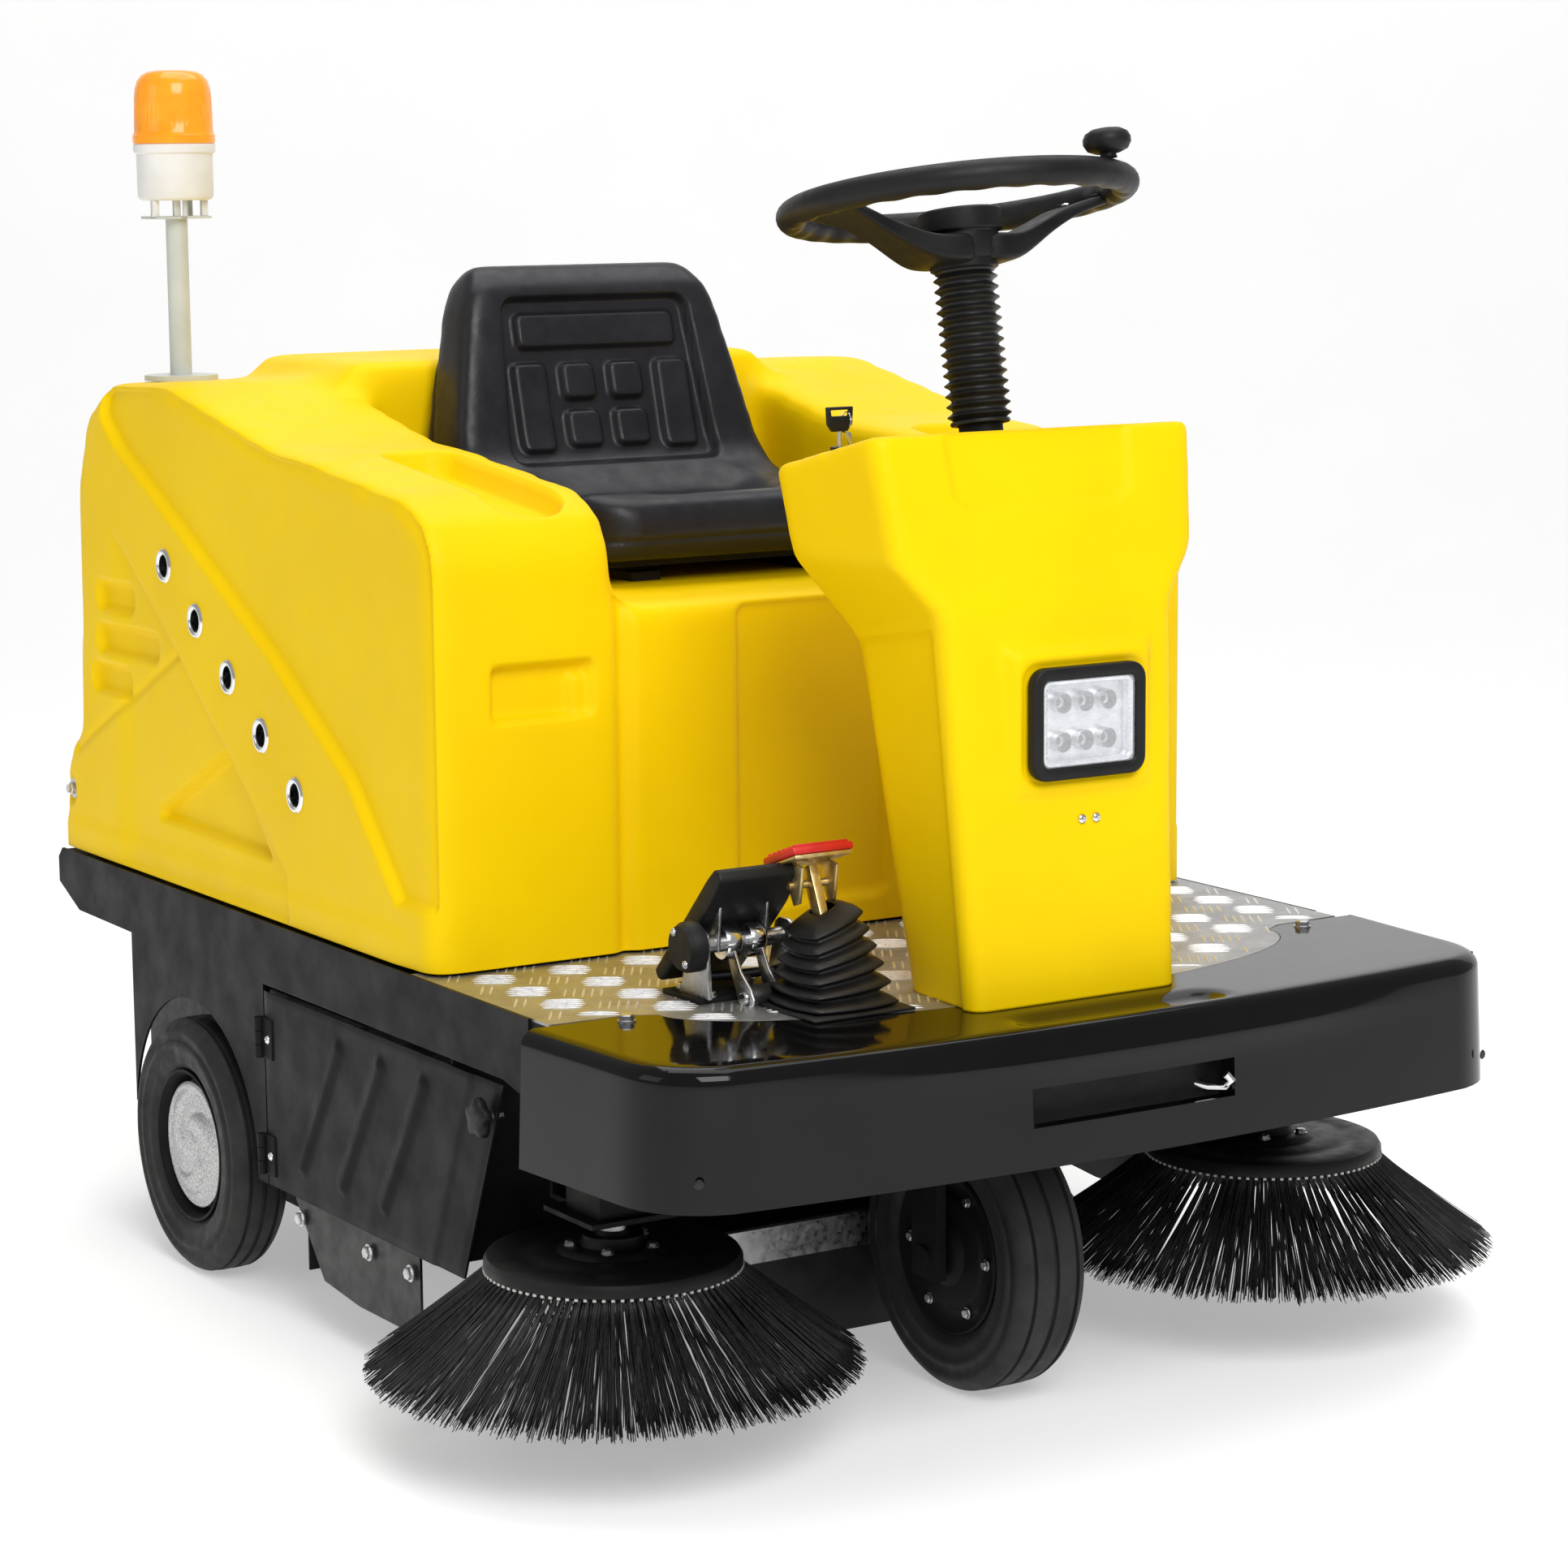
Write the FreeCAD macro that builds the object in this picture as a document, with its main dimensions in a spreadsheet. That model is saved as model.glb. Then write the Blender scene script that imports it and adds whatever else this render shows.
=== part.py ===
"""Three-wheeled ride-on sweeper: front steered drive wheel, two side brushes, a main brush
and a rear hopper under a tilting body cover that carries the seat and the beacon.

Frame: millimetres, +Z up, the front faces -Y, the machine's left side is +X.
Origin: on the floor, under the centre of the machine's outline.
"""
import FreeCAD, Part
import math
import os

import Sketcher
from FreeCAD import Rotation, Vector

SIZES = [
    # chassis
    ("front_y", -750, "front face of the bumper"),
    ("rear_y", 750, "rear end of the chassis"),
    ("side_x", 487, "outer face of the side plates"),
    ("sheet_t", 3, "sheet metal thickness"),
    ("deck_z", 434, "top of the deck plate and bumper"),
    ("tube_w", 38, "square tube of the frame"),
    # wheels
    ("wheel_r", 145, "tyre radius, all three wheels"),
    ("rear_axle_y", 368, "rear axle position"),
    ("rear_outer_x", 503, "outer face of a rear tyre"),
    ("rear_tyre_w", 69, "rear tyre width"),
    ("rim_r", 88, "radius where tyre meets rim"),
    ("arch_r", 168, "wheel arch radius"),
    ("axle_r", 12, "rear stub axle radius"),
    ("run_gap", 0.06, "radial clearance of a running fit"),
    ("steer_y", -475, "steering axis of the front wheel"),
    ("front_tyre_w", 86, "front tyre width"),
    ("stem_r", 20, "fork stem radius"),
    # brushes
    ("brush_x", 405, "side brush centre, across"),
    ("brush_y", -441, "side brush centre, along"),
    ("brush_r", 250, "side brush radius at the tips"),
    ("disc_r", 127, "side brush disc radius"),
    ("disc_z", 180, "underside of the side brush disc, raised"),
    ("tip_z", 80, "side brush tips, raised"),
    ("broom_y", -75, "main brush centre, along"),
    ("broom_z", 152, "main brush centre, height"),
    ("broom_r", 140, "main brush radius"),
    ("broom_half", 340, "half length of the main brush"),
    # body cover and seat
    ("cover_x", 478, "outer side face of the cover"),
    ("cover_t", 5, "moulded wall thickness"),
    ("cover_z", 437, "bottom edge of the cover"),
    ("cover_front_y", -213, "front face of the cover"),
    ("hinge_y", 731, "cover hinge axis, along"),
    ("hinge_z", 506, "cover hinge axis, height"),
    ("bay_x", 258, "half width of the seat bay"),
    ("platform_z", 797, "platform under the seat"),
    ("pole_x", 400, "beacon pole, across"),
    ("pole_y", 540, "beacon pole, along"),
    ("seat_half", 200, "half width of the seat"),
    # console and steering
    ("lamp_x", 15, "middle of the headlight"),
    ("lamp_y", -652, "front of the headlight bezel"),
    ("lamp_z", 706, "height of the headlight's middle"),
    ("console_front_y", -653, "front face of the console at its foot"),
    ("column_foot_y", -587.6, "steering axis at deck level"),
    ("column_lean", 10.3, "steering column lean, degrees"),
    ("column_r", 22, "steering column tube radius"),
    ("shaft_r", 12, "steering shaft radius"),
    ("wheel_up", 782, "deck to steering wheel, along the axis"),
    ("steering_r", 180, "steering wheel outer radius"),
    ("grip_r", 14, "steering wheel rim section radius"),
    # pedals
    ("pedal_x", -262, "accelerator centre, across"),
    ("pedal_y", -455, "accelerator pivot, along"),
    ("pedal_z", 490, "accelerator pivot, height"),
    ("brake_x", -200, "brake centre, across"),
    ("brake_y", -535, "brake pivot, along"),
    ("brake_z", 412, "brake pivot, height"),
]

doc = FreeCAD.newDocument("ride_on_sweeper")
sizes = doc.addObject("Spreadsheet::Sheet", "sizes")
for row, (alias, value, note) in enumerate(SIZES, start=1):
    sizes.set(f"A{row}", str(value))
    sizes.setAlias(f"A{row}", alias)
    sizes.set(f"B{row}", note)
doc.recompute()


class Dim:
    """A size with its value and the spreadsheet expression that it comes from."""

    def __init__(self, value, text=None):
        self.value = float(value)
        self.text = text or repr(float(value))

    def __float__(self):
        return self.value

    def __neg__(self):
        return Dim(-self.value, f"-({self.text})")

    def __add__(self, other):
        other = dim(other)
        return Dim(self.value + other.value, f"({self.text} + {other.text})")

    def __sub__(self, other):
        return self + -dim(other)

    def __mul__(self, other):
        other = dim(other)
        return Dim(self.value * other.value, f"({self.text} * {other.text})")

    def __radd__(self, other):
        return dim(other) + self

    def __rsub__(self, other):
        return dim(other) - self

    def __rmul__(self, other):
        return self * other


def dim(value):
    return value if isinstance(value, Dim) else Dim(value)


class Sheet:
    """Reads a size from the spreadsheet by its alias."""

    def __getattr__(self, alias):
        return Dim(sizes.get(alias), f"sizes.{alias}")


s = Sheet()
PARTS = []
X_AXIS, Y_AXIS, Z_AXIS = Vector(1, 0, 0), Vector(0, 1, 0), Vector(0, 0, 1)
TURN = {"X": Rotation(Z_AXIS, X_AXIS), "Y": Rotation(Z_AXIS, Y_AXIS), "Z": Rotation()}
SIDES = (("right", -1), ("left", 1))


def bind(obj, **values):
    for name, value in values.items():
        if isinstance(value, Dim) and "sizes." in value.text:
            obj.setExpression(name, value.text)
        else:
            setattr(obj, name, float(value))


def place(obj, at, turn=None):
    obj.Placement = FreeCAD.Placement(Vector(*[float(v) for v in at]), turn or Rotation())
    for axis, value in zip("xyz", at):
        if isinstance(value, Dim) and "sizes." in value.text:
            obj.setExpression(f"Placement.Base.{axis}", value.text)
    return obj


def part(obj, label):
    """Marks an object as one of the machine's sub-parts."""
    obj.Label = label
    PARTS.append(obj)
    return obj


def box(at, size, turn=None):
    obj = doc.addObject("Part::Box", "box")
    bind(obj, Length=size[0], Width=size[1], Height=size[2])
    return place(obj, at, turn)


def rod(radius, length, at, along="Z", turn=None):
    obj = doc.addObject("Part::Cylinder", "rod")
    bind(obj, Radius=radius, Height=length)
    return place(obj, at, turn or TURN[along])


def cone(radius_1, radius_2, height, at, turn=None):
    obj = doc.addObject("Part::Cone", "cone")
    bind(obj, Radius1=radius_1, Radius2=radius_2, Height=height)
    return place(obj, at, turn)


def fuse(*objects):
    obj = doc.addObject("Part::MultiFuse", "fuse")
    obj.Shapes = list(objects)
    return obj


def group(*objects):
    obj = doc.addObject("Part::Compound", "group")
    obj.Links = list(objects)
    return obj


def cut(base, *tools):
    obj = doc.addObject("Part::Cut", "cut")
    obj.Base = base
    obj.Tool = tools[0] if len(tools) == 1 else group(*tools)
    return obj


def tube(outer, inner, length, at, along="Z", turn=None):
    return cut(rod(outer, length, at, along, turn), rod(inner, length, at, along, turn))


def move(obj, at, turn=None):
    """Places a finished boolean or group as a whole."""
    return place(obj, at, turn)


def shaped(shape, at=(0, 0, 0), turn=None):
    obj = doc.addObject("Part::Feature", "shaped")
    obj.Shape = shape
    return place(obj, at, turn)


def plane(body, role):
    return next(f for f in body.Origin.OriginFeatures if f.Role == role)


def bound_sketch(body, role, points):
    """A closed polygon whose corners are fixed by expressions."""
    sketch = body.newObject("Sketcher::SketchObject", "outline")
    sketch.AttachmentSupport = [(plane(body, role), "")]
    sketch.MapMode = "FlatFace"
    spots = [Vector(float(u), float(v), 0) for u, v in points]
    count = len(spots)
    for i in range(count):
        sketch.addGeometry(Part.LineSegment(spots[i], spots[(i + 1) % count]), False)
    for i in range(count):
        sketch.addConstraint(Sketcher.Constraint("Coincident", i, 2, (i + 1) % count, 1))
    for i, point in enumerate(points):
        for kind, value, axis in (("DistanceX", point[0], -2), ("DistanceY", point[1], -1)):
            value = dim(value)
            if abs(value.value) < 1e-6:
                sketch.addConstraint(Sketcher.Constraint("PointOnObject", i, 1, axis))
                continue
            index = sketch.addConstraint(Sketcher.Constraint(kind, -1, 1, i, 1, value.value))
            if "sizes." in value.text:
                sketch.setExpression(f"Constraints[{index}]", value.text)
    return sketch


def plate(role, points, thickness, at=(0, 0, 0), turn=None):
    """A padded polygon; the pad grows along the plane's own normal."""
    body = doc.addObject("PartDesign::Body", "plate")
    sketch = bound_sketch(body, role, points)
    pad = body.newObject("PartDesign::Pad", "pad")
    pad.Profile = sketch
    bind(pad, Length=thickness)
    return place(body, at, turn)


def turned(points, at=(0, 0, 0), along="Z", turn=None):
    """A profile of (radius, height) points turned about the body's own Z axis."""
    body = doc.addObject("PartDesign::Body", "turned")
    sketch = bound_sketch(body, "XZ_Plane", points)
    spin = body.newObject("PartDesign::Revolution", "revolution")
    spin.Profile = sketch
    spin.ReferenceAxis = (sketch, ["V_Axis"])
    spin.Angle = 360
    return place(body, at, turn or TURN[along])


def polygon_face(points):
    spots = [Vector(*p) for p in points]
    return Part.Face(Part.makePolygon(spots + spots[:1]))


def side_prism(points, half_width):
    """A solid from a side outline of (y, z) points, running from -X to +X."""
    face = polygon_face([(-half_width, y, z) for y, z in points])
    return face.extrude(Vector(2 * half_width, 0, 0))


def plan_prism(points, z_low, z_high):
    return polygon_face([(x, y, z_low) for x, y in points]).extrude(Vector(0, 0, z_high - z_low))


def rounded(shape, radius, chosen):
    """Fillets the edges that the test picks."""
    edges = [e for e in shape.Edges if chosen(e)]
    return shape.makeFillet(radius, edges)


def loft(sections):
    wires = [Part.makePolygon([Vector(*p) for p in ring + ring[:1]]) for ring in sections]
    return Part.makeLoft(wires, True, True)


# ---------------------------------------------------------------- frame and chassis plates

def square_tube(at, size):
    """A hollow square tube that runs along the longest of its three sizes."""
    wall = 3
    long_way = max(range(3), key=lambda i: float(size[i]))
    inner_at = [at[i] - 1 if i == long_way else at[i] + wall for i in range(3)]
    inner_size = [size[i] + 2 if i == long_way else size[i] - 2 * wall for i in range(3)]
    return cut(box(at, size), box(inner_at, inner_size))


def frame_tubes():
    """Square tubes of the welded frame, all under the deck."""
    wide = s.tube_w
    tube_z = s.deck_z - s.sheet_t - wide
    rail_x = s.side_x - s.sheet_t - wide
    beam_half = s.side_x - s.sheet_t
    front = -644
    bars = []
    for _, side in SIDES:
        low_x = rail_x if side > 0 else -beam_half
        bars.append(square_tube((low_x, front, tube_z), (wide, s.rear_y - front - 5, wide)))
        low_x = dim(80) if side > 0 else -80 - wide
        bars.append(square_tube((low_x, front, tube_z), (wide, dim(-390 - front), wide)))
    bars.append(square_tube((-beam_half, front - wide, tube_z), (2 * beam_half, wide, wide)))
    for beam_y in (-390, -215, 349):
        bars.append(square_tube((-rail_x, dim(beam_y), tube_z), (2 * rail_x, wide, wide)))
    rear_y = s.rear_y - 5 - wide
    rear = square_tube((-rail_x, rear_y, tube_z), (2 * rail_x, wide, wide))
    tow_holes = [rod(5.5, wide + 4, (x, rear_y - 2, tube_z + 19), "Y") for x in (-50, 50)]
    bars.append(cut(rear, *tow_holes))
    return bars


def brush_hangers():
    """Plates that hold the main brush's ends."""
    hangers = []
    for side in (-1, 1):
        low_x = s.broom_half + 4 if side > 0 else -s.broom_half - 12
        hanger = box((low_x, s.broom_y - 25, s.broom_z - 25), (8, 50, 191))
        bore = rod(14 + s.run_gap, 10, (low_x - 1, s.broom_y, s.broom_z), "X")
        hangers.append(cut(hanger, bore))
    return hangers


def hopper_rails():
    rails = []
    for low_x in (-390, 360):
        rails.append(box((low_x, 120, 318), (30, 600, 4)))
        for y in (353, 711):
            rails.append(box((low_x, y, 322), (30, 30, 71)))
    return rails


def lift_guides():
    """Posts under the deck that the side brush lifts slide on."""
    y = s.brush_y + 100
    return [rod(9, s.deck_z - s.sheet_t - 240, (s.brush_x * side, y, 240)) for _, side in SIDES]


def steering_head():
    flange = box((-80, s.steer_y - 55, 396), (160, 110, 12))
    sleeve = rod(s.stem_r + 12, 64, (0, s.steer_y, 332))
    bore = rod(s.stem_r + s.run_gap, 90, (0, s.steer_y, 325))
    return cut(fuse(flange, sleeve), bore)


def make_frame():
    tray = box((-430, -170, s.deck_z - s.sheet_t), (860, 515, s.sheet_t))
    frame = group(*frame_tubes(), *hopper_rails(), *lift_guides(), steering_head(), tray)
    part(frame, "main_frame")


def loop_band(radius_1, radius_2, distance, thickness, width):
    """A closed belt round two wheels: wheel 1 at the origin, wheel 2 along +X, axes along +Z."""

    def outline(grow):
        r1, r2 = radius_1 + grow, radius_2 + grow
        lean = math.acos((r1 - r2) / distance)
        ends = []
        for r, x in ((r1, 0), (r2, distance)):
            ends.append([Vector(x + r * math.cos(a), r * math.sin(a), 0) for a in (lean, -lean)])
        (up_1, down_1), (up_2, down_2) = ends
        back = Vector(-r1, 0, 0)
        front = Vector(distance + r2, 0, 0)
        edges = [
            Part.LineSegment(up_1, up_2), Part.Arc(up_2, front, down_2),
            Part.LineSegment(down_2, down_1), Part.Arc(down_1, back, up_1),
        ]
        return Part.Face(Part.Wire([e.toShape() for e in edges])).extrude(Vector(0, 0, width))

    return outline(thickness).cut(outline(0))


def make_side_plates():
    rear = s.rear_y
    outline = [
        (-427, s.deck_z), (rear - 12, s.deck_z), (rear, s.deck_z - 12), (rear, s.deck_z - 42),
        (rear - 59, 365), (535, 363), (535, 150), (s.rear_axle_y - 192, 140),
        (s.rear_axle_y - 192, 364), (-373, 364), (-427, 352),
    ]
    for name, side in SIDES:
        low_x = s.side_x - s.sheet_t if side > 0 else -s.side_x
        sheet = plate("YZ_Plane", outline, s.sheet_t, (low_x, 0, 0))
        arch = rod(s.arch_r, 3 * s.sheet_t, (low_x - s.sheet_t, s.rear_axle_y, s.wheel_r), "X")
        part(cut(sheet, arch), f"side_plate_{name}")


def deck_edge(inset):
    """Front edge of the deck plate, one side: a quarter of an ellipse that bows to the front."""
    steps = 9
    curve = []
    for i in range(steps + 1):
        turn = math.pi / 2 * i / steps
        x = (376 - inset) * math.cos(turn)
        y = -482 - (140 - inset) * math.sin(turn)
        curve.append((x, y))
    return curve


def make_deck():
    edge = deck_edge(1.0)
    outer = float(s.side_x - s.sheet_t) - 0.5
    half = [(outer, -174), (outer, -463), (400, -467)] + edge
    outline = half + [(-x, y) for x, y in reversed(half[:-1])]
    shape = plan_prism(outline, float(s.deck_z - s.sheet_t), float(s.deck_z))
    foot = float(s.column_foot_y)
    shape = shape.cut(Part.makeCylinder(30, 20, Vector(0, foot, float(s.deck_z) - 10)))
    slot = Part.makeBox(34, 76, 20, Vector(float(s.brake_x) - 17, -566, float(s.deck_z) - 10))
    part(shaped(shape.cut(slot)), "deck_plate")


def bumper_block(inset, z_low, z_high, edge_radius):
    """The bumper's outline with rounded corners and a bowed front, as one block."""
    front = float(s.front_y)
    corner_in, corner_out = (510, -640), (450, -722)
    middle = (494, -697)
    side = Part.LineSegment(Vector(522, -468, 0), Vector(*corner_in, 0))
    corner = Part.Arc(Vector(*corner_in, 0), Vector(*middle, 0), Vector(*corner_out, 0))
    bow = Part.Arc(Vector(*corner_out, 0), Vector(0, front, 0), Vector(-450, -722, 0))
    corner_2 = Part.Arc(Vector(-450, -722, 0), Vector(-494, -697, 0), Vector(-510, -640, 0))
    side_2 = Part.LineSegment(Vector(-510, -640, 0), Vector(-522, -468, 0))
    back = Part.LineSegment(Vector(-522, -468, 0), Vector(522, -468, 0))
    wire = Part.Wire([c.toShape() for c in (side, corner, bow, corner_2, side_2, back)])
    if inset:
        wire = wire.makeOffset2D(-inset)
    block = Part.Face(wire).extrude(Vector(0, 0, z_high - z_low))
    block.translate(Vector(0, 0, z_low))
    if not edge_radius:
        return block

    def on_top(edge):
        flat = abs(edge.BoundBox.ZMin - z_high) < 0.01 and abs(edge.BoundBox.ZMax - z_high) < 0.01
        return flat and edge.BoundBox.YMin < -480

    return rounded(block, edge_radius, on_top)


def make_bumper():
    top, bottom = float(s.deck_z), 300
    shell = bumper_block(0, bottom, top, 16)
    shell = shell.cut(bumper_block(4, bottom - 20, top - 3, 12))
    inner = float(s.side_x) + 0.5
    outer_x = inner + 0.1
    shell = shell.cut(Part.makeBox(2 * inner, 60, 200, Vector(-inner, -520, bottom - 30)))
    half = [(outer_x, -460), (outer_x, -465), (401, -469)] + deck_edge(0)
    bay = half + [(-x, y) for x, y in reversed(half[:-1])]
    lips = Part.makeBox(2 * inner, 60, 3, Vector(-inner, -522, top - 3))
    shell = shell.fuse(lips).cut(plan_prism(bay, top - 20, top + 20))
    slot = Part.makeBox(240, 90, 38, Vector(-120, -770, 340))
    part(shaped(shell.cut(slot).removeSplitter()), "front_bumper")


def make_brush_housing():
    half = s.side_x - s.sheet_t - 0.5
    front = box((-half, -262, 152), (2 * half, s.sheet_t, 240))
    roof = box((-half, -259, 318), (2 * half, 352, s.sheet_t))
    shelf = box((-225, -320, 152), (450, 60, s.sheet_t))
    mouth = box((-345, 80, 125), (690, 30, 130))
    back = cut(box((-480, 90, 62), (960, s.sheet_t, 256)), mouth)
    belt_slot = box((352, -76, 310), (30, 150, 20))
    walls = cut(fuse(front, roof, shelf, back), belt_slot)
    part(group(walls, *brush_hangers()), "brush_housing")


def make_dust_flap():
    part(box((-225, -320, 116), (450, 8, 36)), "flap_clamp")
    flap = [(-170, 116), (-170, 26), (170, 26), (170, 116)]
    part(plate("XZ_Plane", flap, 5, (0, -313, 0)), "dust_flap")


def make_skirts():
    """Lower side skirts with cut-back bottom corners."""
    outline = [(-180, 143), (-180, 54), (-38, 53), (46, 61), (112, 137), (112, 143)]
    skirts = []
    for _, side in SIDES:
        low_x = s.side_x - 6 if side > 0 else -s.side_x + 3
        skirts.append(plate("YZ_Plane", outline, s.sheet_t, (low_x, 0, 0)))
    part(group(*skirts), "side_skirts")


# ---------------------------------------------------------------- wheels and steering

def tyre_profile(width):
    """(radius, height) section of a solid tyre with a rounded tread shoulder."""
    half = width * 0.5
    return [
        (s.rim_r + 0.1, -half + 6), (s.rim_r + 20, -half), (s.wheel_r - 12, -half),
        (s.wheel_r - 2, -half + 10), (s.wheel_r, -half + 22), (s.wheel_r, half - 22),
        (s.wheel_r - 2, half - 10), (s.wheel_r - 12, half), (s.rim_r + 20, half),
        (s.rim_r + 0.1, half - 6),
    ]


def make_rear_wheels():
    half = s.rear_tyre_w * 0.5
    stubs = []
    for name, side in SIDES:
        middle = (s.rear_outer_x - half) * side
        at = (middle, s.rear_axle_y, s.wheel_r)
        facing = Rotation(Z_AXIS, Vector(side, 0, 0))
        part(turned(tyre_profile(s.rear_tyre_w), at, turn=facing), f"rear_tyre_{name}")
        bore = s.axle_r + s.run_gap
        rim = [
            (bore, -half + 4), (30, -half + 4), (34, -half + 12), (s.rim_r - 12, -half + 12),
            (s.rim_r - 8, -half + 6), (s.rim_r, -half + 6), (s.rim_r, half - 6),
            (s.rim_r - 8, half - 6), (s.rim_r - 14, half - 10), (34, half - 10), (30, half - 2),
            (bore, half - 2),
        ]
        part(turned(rim, at, turn=facing), f"rear_rim_{name}")
        inner_x = 404 if side > 0 else -424
        bracket = box((inner_x, s.rear_axle_y - 30, 112), (20, 60, 281))
        pin_x = 424 if side > 0 else 10 - s.rear_outer_x
        pin = rod(s.axle_r, s.rear_outer_x - 434, (pin_x, s.rear_axle_y, s.wheel_r), "X")
        stubs.append(fuse(bracket, pin))
    part(group(*stubs), "stub_axles")


def make_front_wheel():
    half = s.front_tyre_w * 0.5
    at = (0, s.steer_y, s.wheel_r)
    part(turned(tyre_profile(s.front_tyre_w), at, "X"), "front_tyre")
    bore = 10 + s.run_gap
    hub = [
        (bore, -half - 2), (26, -half - 2), (30, -half + 8), (s.rim_r - 14, -half + 10),
        (s.rim_r, -half + 6), (s.rim_r, half - 6), (s.rim_r - 14, half - 10), (30, half - 8),
        (26, half + 2), (bore, half + 2),
    ]
    part(turned(hub, at, "X"), "drive_hub")
    axle = rod(10, 132, (-66, s.steer_y, s.wheel_r), "X")
    cheeks = []
    for low_x in (-62, 50):
        cheeks.append(box((low_x, s.steer_y - 22, s.wheel_r - 24), (12, 44, 189)))
    crown = box((-62, s.steer_y - 30, 310), (124, 60, 16))
    stem = rod(s.stem_r, 100, (0, s.steer_y, 326))
    sprocket = rod(60, 8, (0, s.steer_y, 414))
    part(fuse(axle, *cheeks, crown, stem, sprocket), "front_fork")


def column_frame():
    """Start point and turn of the steering column; its own Z runs up the column."""
    lean = float(s.column_lean)
    return (0, s.column_foot_y, s.deck_z), Rotation(X_AXIS, -lean)


def up_column(distance, radial=0.0, around=0.0):
    """A point at a distance up the steering axis from the deck."""
    start, turn = column_frame()
    local = Vector(radial * math.cos(around), radial * math.sin(around), distance)
    return Vector(*[float(v) for v in start]) + turn.multVec(local)


def along_column(obj):
    start, turn = column_frame()
    return move(obj, start, turn)


def make_steering():
    tower = fuse(rod(s.column_r, 690, (0, 0, 20)), rod(40, 14, (0, 0, 8.2)))
    column = cut(tower, rod(s.shaft_r + s.run_gap, 720, (0, 0, 0)))
    part(along_column(column), "steering_column")
    ribs, low, pitch = 14, 564.0, 10.4
    section = [(24, low), (29, low)]
    for i in range(ribs):
        start = low + i * pitch
        section += [(28, start + 1), (32, start + pitch / 2), (28, start + pitch - 1)]
    top = low + ribs * pitch
    section += [(29, top), (24, top)]
    start, turn = column_frame()
    wire = Part.makePolygon([Vector(r, 0, z) for r, z in section + section[:1]])
    bellows = Part.Face(wire).revolve(Vector(), Z_AXIS, 360)
    part(shaped(bellows, start, turn), "column_bellows")
    shaft = rod(s.shaft_r, s.wheel_up - 8, (0, 0, -24))
    gear = rod(20, 8, (0, 0, -20))
    part(along_column(fuse(shaft, gear)), "steering_shaft")
    gear_y = up_column(-16).y
    reach = float(s.steer_y) - gear_y
    chain = loop_band(22, 60.4, reach, 5, 6)
    part(shaped(chain, (0, gear_y, 415), Rotation(Z_AXIS, 90)), "steering_chain")


def make_steering_wheel():
    up = s.wheel_up
    rim_r = s.steering_r - s.grip_r
    rim = doc.addObject("Part::Torus", "rim")
    bind(rim, Radius1=rim_r, Radius2=s.grip_r)
    place(rim, (0, 0, up))
    hub = turned([
        (s.shaft_r + 0.02, -70), (34, -70), (36, -62), (36, -34), (41, -32), (41, -10), (0, -10),
        (0, -31.9), (s.shaft_r + 0.02, -31.9),
    ], (0, 0, up))
    spokes = []
    for side in (-1, 1):
        outline = [
            (30, -66), (52, -64), (112, -28), (rim_r, -8), (rim_r, 6), (112, -8), (60, -38), (30, -38),
        ]
        points = [(side * x, z) for x, z in outline]
        spokes.append(plate("XZ_Plane", points, 56, (0, 28, up)))
    part(along_column(fuse(rim, hub, *spokes)), "steering_wheel")
    knob_at = up_column(float(up) + float(s.grip_r) - 2, float(rim_r), math.radians(-60))
    stalk = rod(6, 5, (0, 0, 2.3))
    knob = turned([(0, 5), (14, 5), (22, 11), (22, 20), (14, 26), (0, 27)])
    part(move(fuse(stalk, knob), tuple(knob_at), column_frame()[1]), "spinner_knob")


# ---------------------------------------------------------------- console and pedals

def console_ring(z, front_half, rear_half, front_y, rear_y, fall=0.0):
    """Eight-cornered plan section; fall tilts it down towards the rear."""
    base = float(s.console_front_y)
    plan = [
        (12 - front_half, front_y), (front_half - 12, front_y), (front_half, front_y + 12),
        (rear_half, rear_y - 26), (rear_half - 26, rear_y), (26 - rear_half, rear_y),
        (-rear_half, rear_y - 26), (-front_half, front_y + 12),
    ]
    return [(x, y, z - fall * (y - base)) for x, y in plan]


def console_solid(wall):
    """The leaning pedestal and flared head; a positive wall shrinks it to the inner surface."""
    w = wall
    front = float(s.console_front_y)
    rings = [
        console_ring(434.3 - 2 * w, 123 - w, 117 - w, front + w, -506 - w),
        console_ring(640, 131 - w, 124 - w, front + 17 + w, -461 - w),
        console_ring(821, 138 - w, 128 - w, front + 29 + w, -431 - w, 0.2),
        console_ring(863, 178 - w, 196 - w, front + 47 + w, -422 - w),
        console_ring(1005 - w, 191 - w, 205 - w, front + 70 + w, -406 - w, 0.24),
    ]
    return loft(rings)


def lamp_pad():
    """Raised wedge that holds the headlight upright on the leaning front face."""
    levels = []
    for y, half_x, half_z in ((s.lamp_y + 13.5, 76, 63), (s.lamp_y + 44, 104, 92)):
        corners = ((-1, -1), (1, -1), (1, 1), (-1, 1))
        levels.append([(s.lamp_x + a * half_x, y, s.lamp_z + b * half_z) for a, b in corners])
    return loft(levels)


def make_console():
    skin = console_solid(0).fuse(lamp_pad())
    shell = skin.cut(console_solid(float(s.cover_t)))
    lamp_hole = Part.makeBox(112, 60, 88, Vector(s.lamp_x - 56, s.lamp_y - 4, s.lamp_z - 44))
    shell = shell.cut(lamp_hole)
    foot, turn = column_frame()
    passage = Part.makeCylinder(24.5, 760)
    passage.Placement = FreeCAD.Placement(Vector(*[float(v) for v in foot]), turn)
    key_hole = Part.makeCylinder(9.5, 80, Vector(-150, -462, 900))
    part(shaped(shell.cut(passage).cut(key_hole)), "console_shell")


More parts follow.
